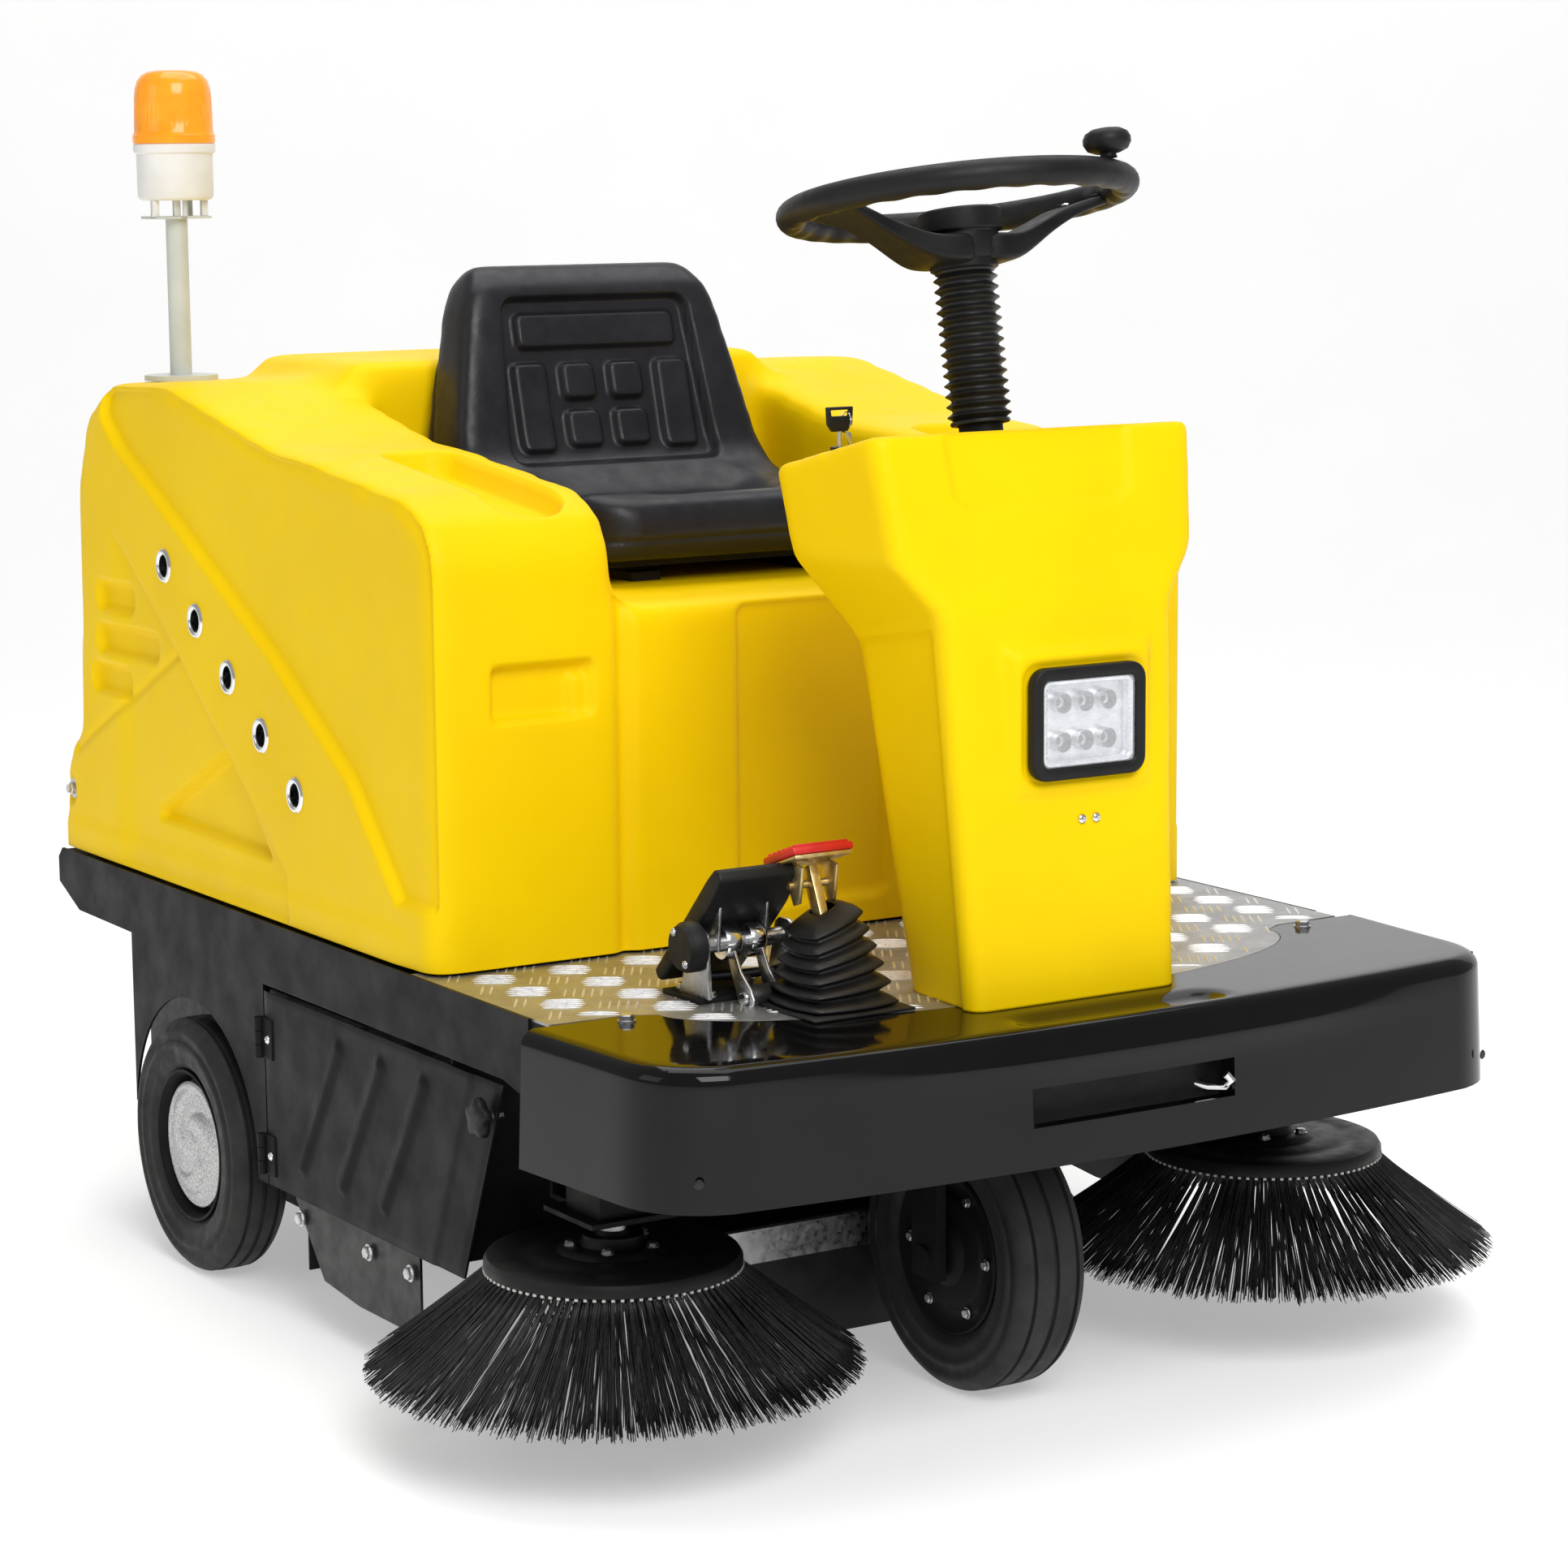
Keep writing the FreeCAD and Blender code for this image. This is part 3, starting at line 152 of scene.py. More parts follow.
# base is colour, roughness and metallic; tint, gloss and bumps each start from a noise (scale, detail,
# stretch) and go on with two tones, two roughnesses, or a strength and a distance in metres.
LOOKS = {
    "yellow_plastic": dict(base=((0.93, 0.62, 0.0), 0.46),
        tint=((5, 3), (0.9, 0.595, 0.0), (0.96, 0.65, 0.0)), gloss=((30, 5), 0.4, 0.54),
        bumps=[((900, 3), 0.10, 0.0006), ((26, 2), 0.10, 0.002)], Specular_IOR_Level=0.1),
    "black_paint": dict(base=((0.007, 0.007, 0.0075), 0.42),
        tint=((7, 5), (0.006, 0.006, 0.0065), (0.011, 0.011, 0.0115)), gloss=((22, 6), 0.36, 0.56),
        bumps=[((700, 2), 0.14, 0.0005)], Specular_IOR_Level=0.1),
    "frame_paint": dict(base=((0.009, 0.009, 0.0095), 0.5),
        tint=((9, 6), (0.007, 0.007, 0.0075), (0.014, 0.0135, 0.013)), gloss=((30, 6), 0.42, 0.66),
        bumps=[((450, 3), 0.16, 0.0006)], Specular_IOR_Level=0.12),
    "bumper_gloss": dict(base=((0.003, 0.003, 0.003), 0.08),
        tint=((6, 4), (0.002, 0.002, 0.0022), (0.004, 0.004, 0.0042)),
        gloss=((60, 6), 0.06, 0.13, 0.35, 0.75), bumps=[((14, 1), 0.05, 0.004)], Specular_IOR_Level=0.24),
    "black_plastic": dict(base=((0.009, 0.009, 0.0095), 0.45),
        tint=((14, 4), (0.008, 0.008, 0.0085), (0.013, 0.013, 0.0135)), gloss=((60, 4), 0.38, 0.55),
        bumps=[((1600, 2), 0.22, 0.0004)], Specular_IOR_Level=0.22),
    "tyre": dict(base=((0.012, 0.012, 0.012), 0.62),
        tint=((16, 7), (0.009, 0.009, 0.009), (0.022, 0.022, 0.0215)), gloss=((45, 6), 0.5, 0.78),
        bumps=[((500, 5), 0.25, 0.0007)], Specular_IOR_Level=0.35),
    "rubber": dict(base=((0.008, 0.008, 0.008), 0.42),
        tint=((18, 5), (0.006, 0.006, 0.006), (0.012, 0.012, 0.012)), gloss=((40, 5), 0.34, 0.55),
        bumps=[((800, 3), 0.15, 0.0004)], Specular_IOR_Level=0.4),
    "rim_metal": dict(base=((0.62, 0.62, 0.62), 0.45, 0.9),
        tint=((420, 3), (0.32, 0.32, 0.33), (0.78, 0.78, 0.78)), gloss=((300, 3), 0.34, 0.6),
        bumps=[((1100, 3), 0.5, 0.0007)]),
    "steel": dict(base=((0.56, 0.56, 0.57), 0.3, 1.0),
        tint=((60, 4), (0.45, 0.45, 0.46), (0.68, 0.68, 0.68)), gloss=((160, 4, (1, 8, 1)), 0.22, 0.42),
        bumps=[((900, 2, (1, 12, 1)), 0.12, 0.0003)]),
    "chrome": dict(base=((0.82, 0.82, 0.83), 0.1, 1.0),
        tint=((40, 3), (0.76, 0.76, 0.78), (0.88, 0.88, 0.88)), gloss=((220, 4), 0.07, 0.2)),
    "gold_zinc": dict(base=((0.62, 0.47, 0.2), 0.32, 0.9),
        tint=((50, 4), (0.5, 0.38, 0.17), (0.75, 0.6, 0.3)), gloss=((120, 4), 0.24, 0.45)),
    "red_rubber": dict(base=((0.62, 0.012, 0.008), 0.42),
        tint=((30, 4), (0.5, 0.008, 0.006), (0.7, 0.018, 0.012)), bumps=[((900, 2), 0.15, 0.0003)]),
    "seat_vinyl": dict(base=((0.012, 0.012, 0.015), 0.36),
        tint=((12, 4), (0.009, 0.009, 0.012), (0.015, 0.015, 0.019)), gloss=((50, 5), 0.3, 0.46),
        cells=(420, 0.12, 0.0005), bumps=[((30, 2), 0.08, 0.002)], Specular_IOR_Level=0.3),
    "bristle": dict(base=((0.012, 0.012, 0.012), 0.36),
        tint=((240, 3, (1, 1, 0.1)), (0.006, 0.006, 0.006), (0.03, 0.03, 0.03)),
        gloss=((200, 3), 0.3, 0.5)),
    "amber": dict(base=((1.0, 0.36, 0.01), 0.16), tint=((40, 3), (0.95, 0.33, 0.008), (1.0, 0.42, 0.02)),
        gloss=((120, 3), 0.1, 0.22), Alpha=0.86, Emission_Strength=0.12,
        Emission_Color=(1.0, 0.3, 0.01, 1)),
    "amber_core": dict(base=((0.9, 0.5, 0.1), 0.4), tint=((60, 3), (0.85, 0.45, 0.08), (0.95, 0.6, 0.16))),
    "clear_lens": dict(base=((0.95, 0.97, 1.0), 0.06), tint=((60, 2), (0.9, 0.93, 0.97), (0.98, 0.99, 1.0)),
        gloss=((300, 2), 0.04, 0.14), Alpha=0.2),
    # the reflector's faint emission is painted reflection: it glows to stand in for the light a lit reflector
    # throws back
    "reflector": dict(base=((0.85, 0.86, 0.88), 0.3, 0.5),
        tint=((90, 3), (0.7, 0.72, 0.76), (0.95, 0.95, 0.97)), gloss=((200, 3), 0.12, 0.3),
        Emission_Strength=0.06, Emission_Color=(0.9, 0.95, 1.0, 1)),
    "white_plastic": dict(base=((0.78, 0.77, 0.73), 0.38),
        tint=((18, 4), (0.72, 0.71, 0.67), (0.82, 0.81, 0.78)), gloss=((60, 4), 0.32, 0.48),
        bumps=[((700, 2), 0.08, 0.0004)]),
    "grey_paint": dict(base=((0.55, 0.57, 0.52), 0.36),
        tint=((14, 5), (0.5, 0.52, 0.47), (0.6, 0.62, 0.57)), gloss=((90, 4), 0.28, 0.46)),
    "chequer_plate": dict(base=((0.4, 0.41, 0.42), 0.36, 0.85),
        tint=((22, 6), (0.3, 0.3, 0.3), (0.46, 0.465, 0.47)), gloss=((70, 6, (1, 5, 1)), 0.28, 0.52),
        bumps=[((500, 3, (1, 8, 1)), 0.2, 0.0004)]),
    "bar_metal": dict(base=((0.8, 0.8, 0.8), 0.3, 0.7),
        tint=((120, 4), (0.7, 0.7, 0.7), (0.88, 0.88, 0.88)), gloss=((150, 4), 0.24, 0.42)),
    "floor_white": dict(base=((0.8, 0.8, 0.8), 0.7), tint=((3, 3), (0.79, 0.79, 0.79), (0.81, 0.81, 0.81)),
        Specular_IOR_Level=0.2, Emission_Strength=0.38, Emission_Color=(1, 1, 1, 1)),
}


def make_material(name, base, tint, gloss=None, cells=None, bumps=(), **sockets):
    shader = Shader(name, *base, **sockets)
    shader.tint(shader.noise(*tint[0]), *tint[1:])
    if gloss:
        shader.gloss(shader.noise(*gloss[0]), *gloss[1:])
    if cells:
        shader.bump(shader.cells(cells[0]), *cells[1:])
    for noise, strength, distance in bumps:
        shader.bump(shader.noise(*noise), strength, distance)
    return shader.material


MATS = {name: make_material(name, **look) for name, look in LOOKS.items()}


# ---------------------------------------------------------------- mesh helpers

def new_object(name, verts, faces, material, sharp=35):
    """A mesh object from points in millimetres."""
    mesh = bpy.data.meshes.new(name)
    points = np.asarray(verts, dtype=float) * MM
    mesh.from_pydata([tuple(p) for p in points], [], faces)
    mesh.validate()
    obj = bpy.data.objects.new(name, mesh)
    bpy.context.scene.collection.objects.link(obj)
    mesh.materials.append(MATS[material])
    soften(obj, sharp)
    return obj


def soften(obj, sharp=35):
    """Smooth shading, with edges sharper than the angle kept crisp."""
    mesh = obj.data
    mesh.polygons.foreach_set("use_smooth", [True] * len(mesh.polygons))
    if sharp:
        mesh.set_sharp_from_angle(angle=math.radians(sharp))
    mesh.update()


def bake(obj):
    """Turn the modifiers into mesh."""
    graph = bpy.context.evaluated_depsgraph_get()
    fresh = bpy.data.meshes.new_from_object(obj.evaluated_get(graph))
    old = obj.data
    obj.modifiers.clear()
    obj.data = fresh
    bpy.data.meshes.remove(old)
    return obj


def modify(obj, kind, **values):
    """Add a modifier with these settings."""
    modifier = obj.modifiers.new(kind.lower(), kind)
    for key, value in values.items():
        setattr(modifier, key, value)
    return modifier


def bevelled(obj, width, segments=2, angle=40):
    """Round the edges; the width is in millimetres."""
    modify(obj, "BEVEL", width=width * MM, segments=segments, limit_method="ANGLE",
           angle_limit=math.radians(angle), harden_normals=False)
    bake(obj)
    soften(obj, 40)
    return obj


def prism(name, outline, low, high, along, material):
    """Closed block from an outline in the plane across the axis."""
    order = {"X": (2, 0, 1), "Y": (0, 2, 1), "Z": (0, 1, 2)}[along]
    verts = []
    for level in (low, high):
        for a, b in outline:
            raw = (a, b, level)
            verts.append(tuple(raw[k] for k in order))
    faces = end_caps(len(outline), 2) + grid_faces(2, len(outline), wrap_columns=True)
    obj = new_object(name, verts, faces, material)
    fix_normals(obj)
    return obj


def end_caps(columns, rows):
    """The first and the last row of a grid of points, each as one face."""
    count = columns * rows
    return [tuple(range(columns)), tuple(range(count - 1, count - columns - 1, -1))]


def grid_faces(rows, columns, wrap_rows=False, wrap_columns=False, across=False, base=0):
    """Quads between neighbours in rows of points; across turns the faces the other way round."""
    faces = []
    for i in range(rows if wrap_rows else rows - 1):
        for k in range(columns if wrap_columns else columns - 1):
            j, m = (i + 1) % rows, (k + 1) % columns
            a, b, c, d = (base + r * columns + s for r, s in ((i, k), (j, k), (j, m), (i, m)))
            faces.append((a, d, c, b) if across else (a, b, c, d))
    return faces


def fix_normals(obj):
    """Weld doubled points and turn every face outwards."""
    work = bmesh.new()
    work.from_mesh(obj.data)
    bmesh.ops.remove_doubles(work, verts=work.verts, dist=1e-6)
    bmesh.ops.recalc_face_normals(work, faces=work.faces)
    work.to_mesh(obj.data)
    work.free()


def join(first, *others):
    """Merge meshes that share the world frame into the first one."""
    work = bmesh.new()
    mats = list(first.data.materials)
    for obj in (first, *others):
        start = len(work.faces)
        work.from_mesh(obj.data)
        work.faces.ensure_lookup_table()
        slots = []
        for material in obj.data.materials:
            if material not in mats:
                mats.append(material)
            slots.append(mats.index(material))
        for face in work.faces[start:]:
            face.material_index = slots[min(face.material_index, len(slots) - 1)]
    indices = [face.material_index for face in work.faces]
    work.to_mesh(first.data)
    work.free()
    first.data.materials.clear()
    for material in mats:
        first.data.materials.append(material)
    first.data.polygons.foreach_set("material_index", indices)
    for obj in others:
        bpy.data.objects.remove(obj)
    return first


def carve(obj, tool, operation="DIFFERENCE"):
    """Boolean with a tool that is used up."""
    modify(obj, "BOOLEAN", object=tool, operation=operation, solver="EXACT")
    bake(obj)
    bpy.data.objects.remove(tool)
    return obj


def voxel(obj, size):
    """Remesh at a cell size in millimetres."""
    modify(obj, "REMESH", mode="VOXEL", voxel_size=size * MM)
    return bake(obj)


def relax(obj, times, factor=0.5):
    modify(obj, "SMOOTH", factor=factor, iterations=times)
    return bake(obj)


def points_of(obj):
    """Points in millimetres, and their normals."""
    mesh = obj.data
    co = np.empty(len(mesh.vertices) * 3)
    mesh.vertices.foreach_get("co", co)
    normal = np.empty(len(mesh.vertices) * 3)
    mesh.vertices.foreach_get("normal", normal)
    return co.reshape(-1, 3) / MM, normal.reshape(-1, 3)


def set_points(obj, points):
    obj.data.vertices.foreach_set("co", (points * MM).ravel())
    obj.data.update()


def step(value, width):
    """0 below -width/2, 1 above width/2, smooth between."""
    t = np.clip(value / width + 0.5, 0, 1)
    return t * t * (3 - 2 * t)


def bell(value, width):
    """1 at zero, falling away over the width."""
    return np.exp(-(value / width) ** 2)


def segment_distance(u, v, a, b):
    ax, ay = a
    dx, dy = b[0] - ax, b[1] - ay
    t = np.clip(((u - ax) * dx + (v - ay) * dy) / (dx * dx + dy * dy), 0, 1)
    return np.hypot(u - ax - t * dx, v - ay - t * dy)


def path_distance(u, v, path):
    return np.min([segment_distance(u, v, a, b) for a, b in zip(path, path[1:])], axis=0)


def region(u, v, polygon):
    """Signed distance to a polygon, positive inside."""
    inside = np.zeros(u.shape, bool)
    closed = list(polygon) + [polygon[0]]
    for (ax, ay), (bx, by) in zip(closed, closed[1:]):
        crosses = (ay > v) != (by > v)
        if ay != by:
            inside ^= crosses & (u < (bx - ax) * (v - ay) / (by - ay) + ax)
    away = path_distance(u, v, closed)
    return np.where(inside, away, -away)


def rounded_box(u, v, cu, cv, half_u, half_v, radius):
    """Signed distance to a rounded rectangle, positive inside."""
    du = np.abs(u - cu) - half_u + radius
    dv = np.abs(v - cv) - half_v + radius
    outside = np.hypot(np.maximum(du, 0), np.maximum(dv, 0))
    return radius - outside - np.minimum(np.maximum(du, dv), 0)


def cut_below(obj, z):
    """Take away everything under a height."""
    work = bmesh.new()
    work.from_mesh(obj.data)
    geometry = work.verts[:] + work.edges[:] + work.faces[:]
    bmesh.ops.bisect_plane(work, geom=geometry, plane_co=(0, 0, z * MM), plane_no=(0, 0, 1),
                           clear_inner=True)
    work.to_mesh(obj.data)
    work.free()


def remove_faces(obj, test):
    """Delete the faces whose centres (in millimetres) pass the test."""
    mesh = obj.data
    centres = np.empty(len(mesh.polygons) * 3)
    mesh.polygons.foreach_get("center", centres)
    doomed = test(centres.reshape(-1, 3) / MM)
    work = bmesh.new()
    work.from_mesh(mesh)
    work.faces.ensure_lookup_table()
    faces = [work.faces[i] for i in np.nonzero(doomed)[0]]
    bmesh.ops.delete(work, geom=faces, context="FACES")
    work.to_mesh(mesh)
    work.free()


def thicken(obj, wall):
    modify(obj, "SOLIDIFY", thickness=wall * MM, offset=-1)
    return bake(obj)


def facing(axis):
    """Rotation that turns +Z to the given direction."""
    return Vector((0, 0, 1)).rotation_difference(Vector(axis)).to_matrix()


def lathe(name, profile, at, axis, material, steps=64, sharp=35, shape=None):
    """Turn (radius, height) points about an axis; shape(r, h, angle) may reshape a point."""
    turn = facing(axis)
    verts = []
    for i in range(steps):
        angle = 2 * math.pi * i / steps
        for r, h in profile:
            r2, h2 = shape(r, h, angle) if shape else (r, h)
            local = Vector((r2 * math.cos(angle), r2 * math.sin(angle), h2))
            verts.append(tuple(turn @ local + Vector(at)))
    faces = grid_faces(steps, len(profile), wrap_rows=True)
    obj = new_object(name, verts, faces, material, 0)
    fix_normals(obj)
    soften(obj, sharp)
    return obj


def tube_along(name, path, radius, material, steps=12):
    """Round bar through points, closed at both ends."""
    verts = []
    points = [Vector(p) for p in path]
    for i, p in enumerate(points):
        ahead = points[min(i + 1, len(points) - 1)] - points[max(i - 1, 0)]
        turn = facing(ahead.normalized())
        for k in range(steps):
            a = 2 * math.pi * k / steps
            verts.append(tuple(p + turn @ Vector((radius * math.cos(a), radius * math.sin(a), 0))))
    faces = grid_faces(len(points), steps, wrap_columns=True, across=True) + end_caps(steps, len(points))
    obj = new_object(name, verts, faces, material)
    fix_normals(obj)
    soften(obj)
    return obj


def block(name, at, size, material, bevel=1.0, turn=None):
    """Small bevelled block from its low corner and size, for machined details."""
    x, y, z = size
    obj = prism(name, [(0, 0), (x, 0), (x, y), (0, y)], 0, z, "Z", material)
    if bevel:
        bevelled(obj, bevel)
    matrix = Matrix.Translation(Vector(at) * MM) @ (turn.to_4x4() if turn else Matrix.Identity(4))
    obj.data.transform(matrix)
    return obj


def combine(name, first, *others):
    """Join meshes under one name."""
    join(first, *others)
    first.name = name
    return first


def finish_piece(obj, body, slot, *replaced):
    """Put the piece under the body that carries it and hide the nodes it stands for; slot is not used."""
    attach(obj, body)
    if replaced:
        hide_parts(*replaced)
    return obj


def hex_bolt(name, at, axis, radius=7, height=5, washer=10, material="steel"):
    """Hexagon head with a chamfer on a washer."""
    sixth = math.pi / 3
    thick, chamfer = 1.4, 1.2

    def flat(r, h, a):
        return r / math.cos((a + sixth / 2) % sixth - sixth / 2), h

    side = [(0, thick), (radius, thick), (radius, height)]
    top = [(radius - chamfer, height + chamfer), (0, height + chamfer)]
    head = lathe(name, side + top, at, axis, material, 24, 30, flat)
    ring = lathe(name + "_washer", [(0, 0), (washer, 0), (washer, thick), (0, thick)], at, axis, material, 32)
    return join(head, ring)


def pan_screw(name, at, axis, radius=5, material="chrome"):
    """Domed screw head with a cross recess."""
    def cross(r, h, a):
        arm = min(abs(r * math.cos(a)), abs(r * math.sin(a)))
        return (r, h - 1.2) if arm < 0.9 and r < radius * 0.6 else (r, h)

    dome_high = radius * 0.55
    dome = [(0, dome_high)]
    dome += [(radius * t / 8, dome_high * math.sqrt(max(0.0, 1 - (t / 8.2) ** 2))) for t in range(1, 9)]
    return lathe(name, dome + [(radius, 0), (0, 0)], at, axis, material, 48, 50, cross)


# ---------------------------------------------------------------- body cover

COVER_SIDE = [
    (-213, 380), (-213, 850), (-191, 893), (-150, 914), (88, 941), (167, 947), (434, 1003),
    (590, 996), (655, 962), (688, 880), (699, 640), (703, 585), (738, 562), (756, 530), (757, 380),
]
BAND_FRONT = [(600, 960), (555, 926), (376, 837), (157, 725), (-27, 614), (-135, 500), (-260, 506)]
BAND_REAR = [(610, 853), (403, 704), (277, 609), (131, 490)]
BRACE = [(706, 557), (404, 702)]
TRIANGLE = [(464, 518), (277, 609), (172, 500), (472, 504)]
VENTS = ((576, 750, 47), (545, 700, 83), (594, 653, 51))


def cover_relief(points, normals):
    """Press the panels, braces, vents and trays of the moulding into the plain shell."""
    x, y, z = points.T
    moved = points.copy()
    side = np.sign(x)
    on_side = step(np.abs(normals[:, 0]) - 0.72, 0.3) * (np.abs(x) > 430)
    above = [(-400, 506)] + BAND_FRONT[::-1][1:] + [(600, 1300), (-400, 1300)]
    panel = 10 * step(region(y, z, above), 7)
    upper_fade = 1 - step(z - (905 + 0.16 * (y + 100)), 90)
    inward = panel * upper_fade
    behind = [(600, 840)] + BAND_REAR + [(120, 440), (800, 440), (800, 700)]
    inward += 5 * step(region(y, z, behind), 6) * (1 - step(y - 560, 60))
    inward += 5 * bell(path_distance(y, z, BRACE), 4.5)
    inward += 13 * step(region(y, z, TRIANGLE) - 2, 7)
    for cy, cz, half in VENTS:
        inward += 10 * step(rounded_box(y, z, cy, cz, half, 17, 15) - 1, 6)
    lug = np.hypot(y - 731, z - 506)
    inward += 7 * step(18 - lug, 6)
    base = step(472 - z, 20) * step(y + 150, 60)
    inward -= 3.0 * base
    moved[:, 0] -= side * inward * on_side
    on_front = step(-normals[:, 1] - 0.7, 0.3) * (y < -150)
    pocket = 16 * step(rounded_box(np.abs(x), z, 346, 716, 58, 28, 8) - 1, 6)
    pocket -= 8 * step(rounded_box(np.abs(x), z, 300, 709, 11, 20, 6), 6)
    back = pocket + 9 * bell(np.abs(x) - 252, 9) * step(z - 430, 20)
    back += 9 * step(rounded_box(x, z, -22, 627, 92, 160, 14), 10) * (z < 792)
    back += 5 * step(rounded_box(x, z, 165, 620, 60, 150, 14), 10) * (z < 792)
    moved[:, 1] += back * on_front
    on_top = step(normals[:, 2] - 0.6, 0.35)
    tray = 28 * step(rounded_box(np.abs(x), y, 338, -50, 40, 135, 26) - 1, 10)
    moved[:, 2] -= tray * on_top * (z > 860)
    on_rear = step(normals[:, 1] - 0.7, 0.3) * (y > 600)
    rear_panel = 8 * step(rounded_box(x, z, 0, 740, 330, 90, 30), 14)
    moved[:, 1] -= rear_panel * on_rear
    return moved


def make_cover():
    body = prism("cover_shell", COVER_SIDE, -COVER_HALF, COVER_HALF, "X", "yellow_plastic")
    bay_outline = [(-258, 797), (258, 797), (258, 1200), (-258, 1200)]
    bay = prism("bay", bay_outline, -400, 350, "Y", "yellow_plastic")
    carve(body, bay)
    hump_front = [(-322, 900), (-300, 985), (-262, 1022), (262, 1022), (300, 985), (322, 900)]
    hump = prism("hump", hump_front, 352, 618, "Y", "yellow_plastic")
    carve(body, hump, "UNION")
    voxel(body, 12)
    relax(body, 12)
    voxel(body, 4)
    relax(body, 4)
    points, normals = points_of(body)
    set_points(body, cover_relief(points, normals))
    relax(body, 1, 0.4)
    cut_below(body, 437)

    def in_hole(centres):
        x, y, z = centres.T
        hit = np.zeros(len(x), bool)
        for cy, cz in grommet_spots():
            hit |= np.hypot(y - cy, z - cz) < 15.5
        return hit & (np.abs(x) > 440)

    remove_faces(body, in_hole)
    thicken(body, 4.5)
    soften(body, 0)
    finish_piece(body, "body_cover", "yellow_plastic", "body_cover")


def grommet_spots():
    """The (y, z) of the five holes in a falling row."""
    return [(GROMMET_TOP[0] - GROMMET_PITCH[0] * i, GROMMET_TOP[1] - GROMMET_PITCH[1] * i) for i in range(5)]


def make_grommets():
    """Chrome rings with a short dark sleeve behind each."""
    parts = []
    ring = [(12.4, -16), (12.4, 1.2), (13.4, 2.6), (15.5, 3.4), (18, 2.8), (19.5, 1.0), (19.5, -2.4),
            (14, -2.4), (14, -16), (12.4, -16)]
    sleeve = [(13.8, -34), (13.8, -15), (12.2, -15), (12.2, -33), (0, -33), (0, -34), (13.8, -34)]
    for _, side in SIDES:
        out = (side, 0, 0)
        for i, (y, z) in enumerate(grommet_spots()):
            spot = (side * COVER_HALF, y, z)
            parts.append(lathe(f"grommet_{side}_{i}", ring, spot, out, "chrome", 40))
            parts.append(lathe(f"sleeve_{side}_{i}", sleeve, spot, out, "black_plastic", 32))
    for _, side in SIDES:
        parts.append(hex_bolt(f"hinge_bolt_{side}", (side * 471, 731, 506), (side, 0, 0), 6.5, 5, 12))
    rings = combine("cover_rings", *parts)
    finish_piece(rings, "body_cover", "chrome", "cover_grommets")


# ---------------------------------------------------------------- console

def console_ring(z, front_half, rear_half, front_y, rear_y, fall=0.0):
    """Eight-cornered plan section; fall tilts it down towards the rear."""
    plan = [
        (10 - front_half, front_y), (front_half - 10, front_y), (front_half, front_y + 10),
        (rear_half, rear_y - 26), (rear_half - 26, rear_y), (26 - rear_half, rear_y),
        (-rear_half, rear_y - 26), (-front_half, front_y + 10),
    ]
    return [(x, y, z - fall * (y + 653)) for x, y in plan]


def make_console():
    """Leaning pedestal with a flared head, lamp pad, grooved front and sunk side panels."""
    lamp_x, _, lamp_z = LAMP
    rings = [
        console_ring(400, 123, 117, -656, -513),
        console_ring(640, 132, 125, -636, -461),
        console_ring(821, 139, 129, -624, -431, 0.2),
        console_ring(863, 179, 197, -606, -422),
        console_ring(1005, 192, 206, -583, -406, 0.24),
    ]
    verts = [p for ring in rings for p in ring]
    corners = len(rings[0])
    faces = end_caps(corners, len(rings))
    faces += grid_faces(len(rings), corners, wrap_columns=True, across=True)
    shell = new_object("console_body", verts, faces, "yellow_plastic")
    fix_normals(shell)
    pad_verts = []
    for y, half_x, half_z in ((-640, 78, 66), (-607, 106, 96)):
        for a, b in ((-1, -1), (1, -1), (1, 1), (-1, 1)):
            pad_verts.append((lamp_x + a * half_x, y, lamp_z + b * half_z))
    pad_faces = end_caps(4, 2) + grid_faces(2, 4, wrap_columns=True, across=True)
    pad = new_object("lamp_pad", pad_verts, pad_faces, "yellow_plastic")
    fix_normals(pad)
    voxel(shell, 6)
    relax(shell, 6)
    carve(shell, pad, "UNION")
    voxel(shell, 4)
    relax(shell, 6)
    voxel(shell, 3)
    points, normals = points_of(shell)
    x, y, z = points.T
    on_front = step(-normals[:, 1] - 0.6, 0.3)
    seat = 3 * step(rounded_box(x, z, lamp_x, lamp_z, 72, 59, 18), 5) * (y < -633)
    u_line = [(-112, 1020), (-104, 925), (-88, 913), (88, 913), (104, 925), (112, 1020)]
    groove = 5 * step(region(x, z, u_line), 12) * (z > 890)
    points[:, 1] += (seat + groove) * on_front
    on_side = step(np.abs(normals[:, 0]) - 0.7, 0.25)
    side_panel = [(-600, 800), (-634, 400), (-490, 400), (-446, 776)]
    points[:, 0] -= np.sign(x) * 5 * step(region(y, z, side_panel) - 2, 9) * on_side
    set_points(shell, points)
    relax(shell, 1, 0.4)
    cut_below(shell, 434.3)

    def in_hole(centres):
        x, y, z = centres.T
        axis_y = COLUMN_FOOT_Y + (z - DECK_TOP) * math.tan(COLUMN_LEAN)
        column = (np.hypot(x, y - axis_y) < 23) & (z > 880)
        key_hole = (np.hypot(x - KEY[0], y - KEY[1]) < 8.5) & (z > 880)
        lamp_hole = (np.abs(x - lamp_x) < 54) & (np.abs(z - lamp_z) < 42) & (y < -606)
        return column | key_hole | lamp_hole

    remove_faces(shell, in_hole)
    thicken(shell, 4)
    soften(shell, 0)
    finish_piece(shell, "chassis", "yellow_plastic", "console_shell")


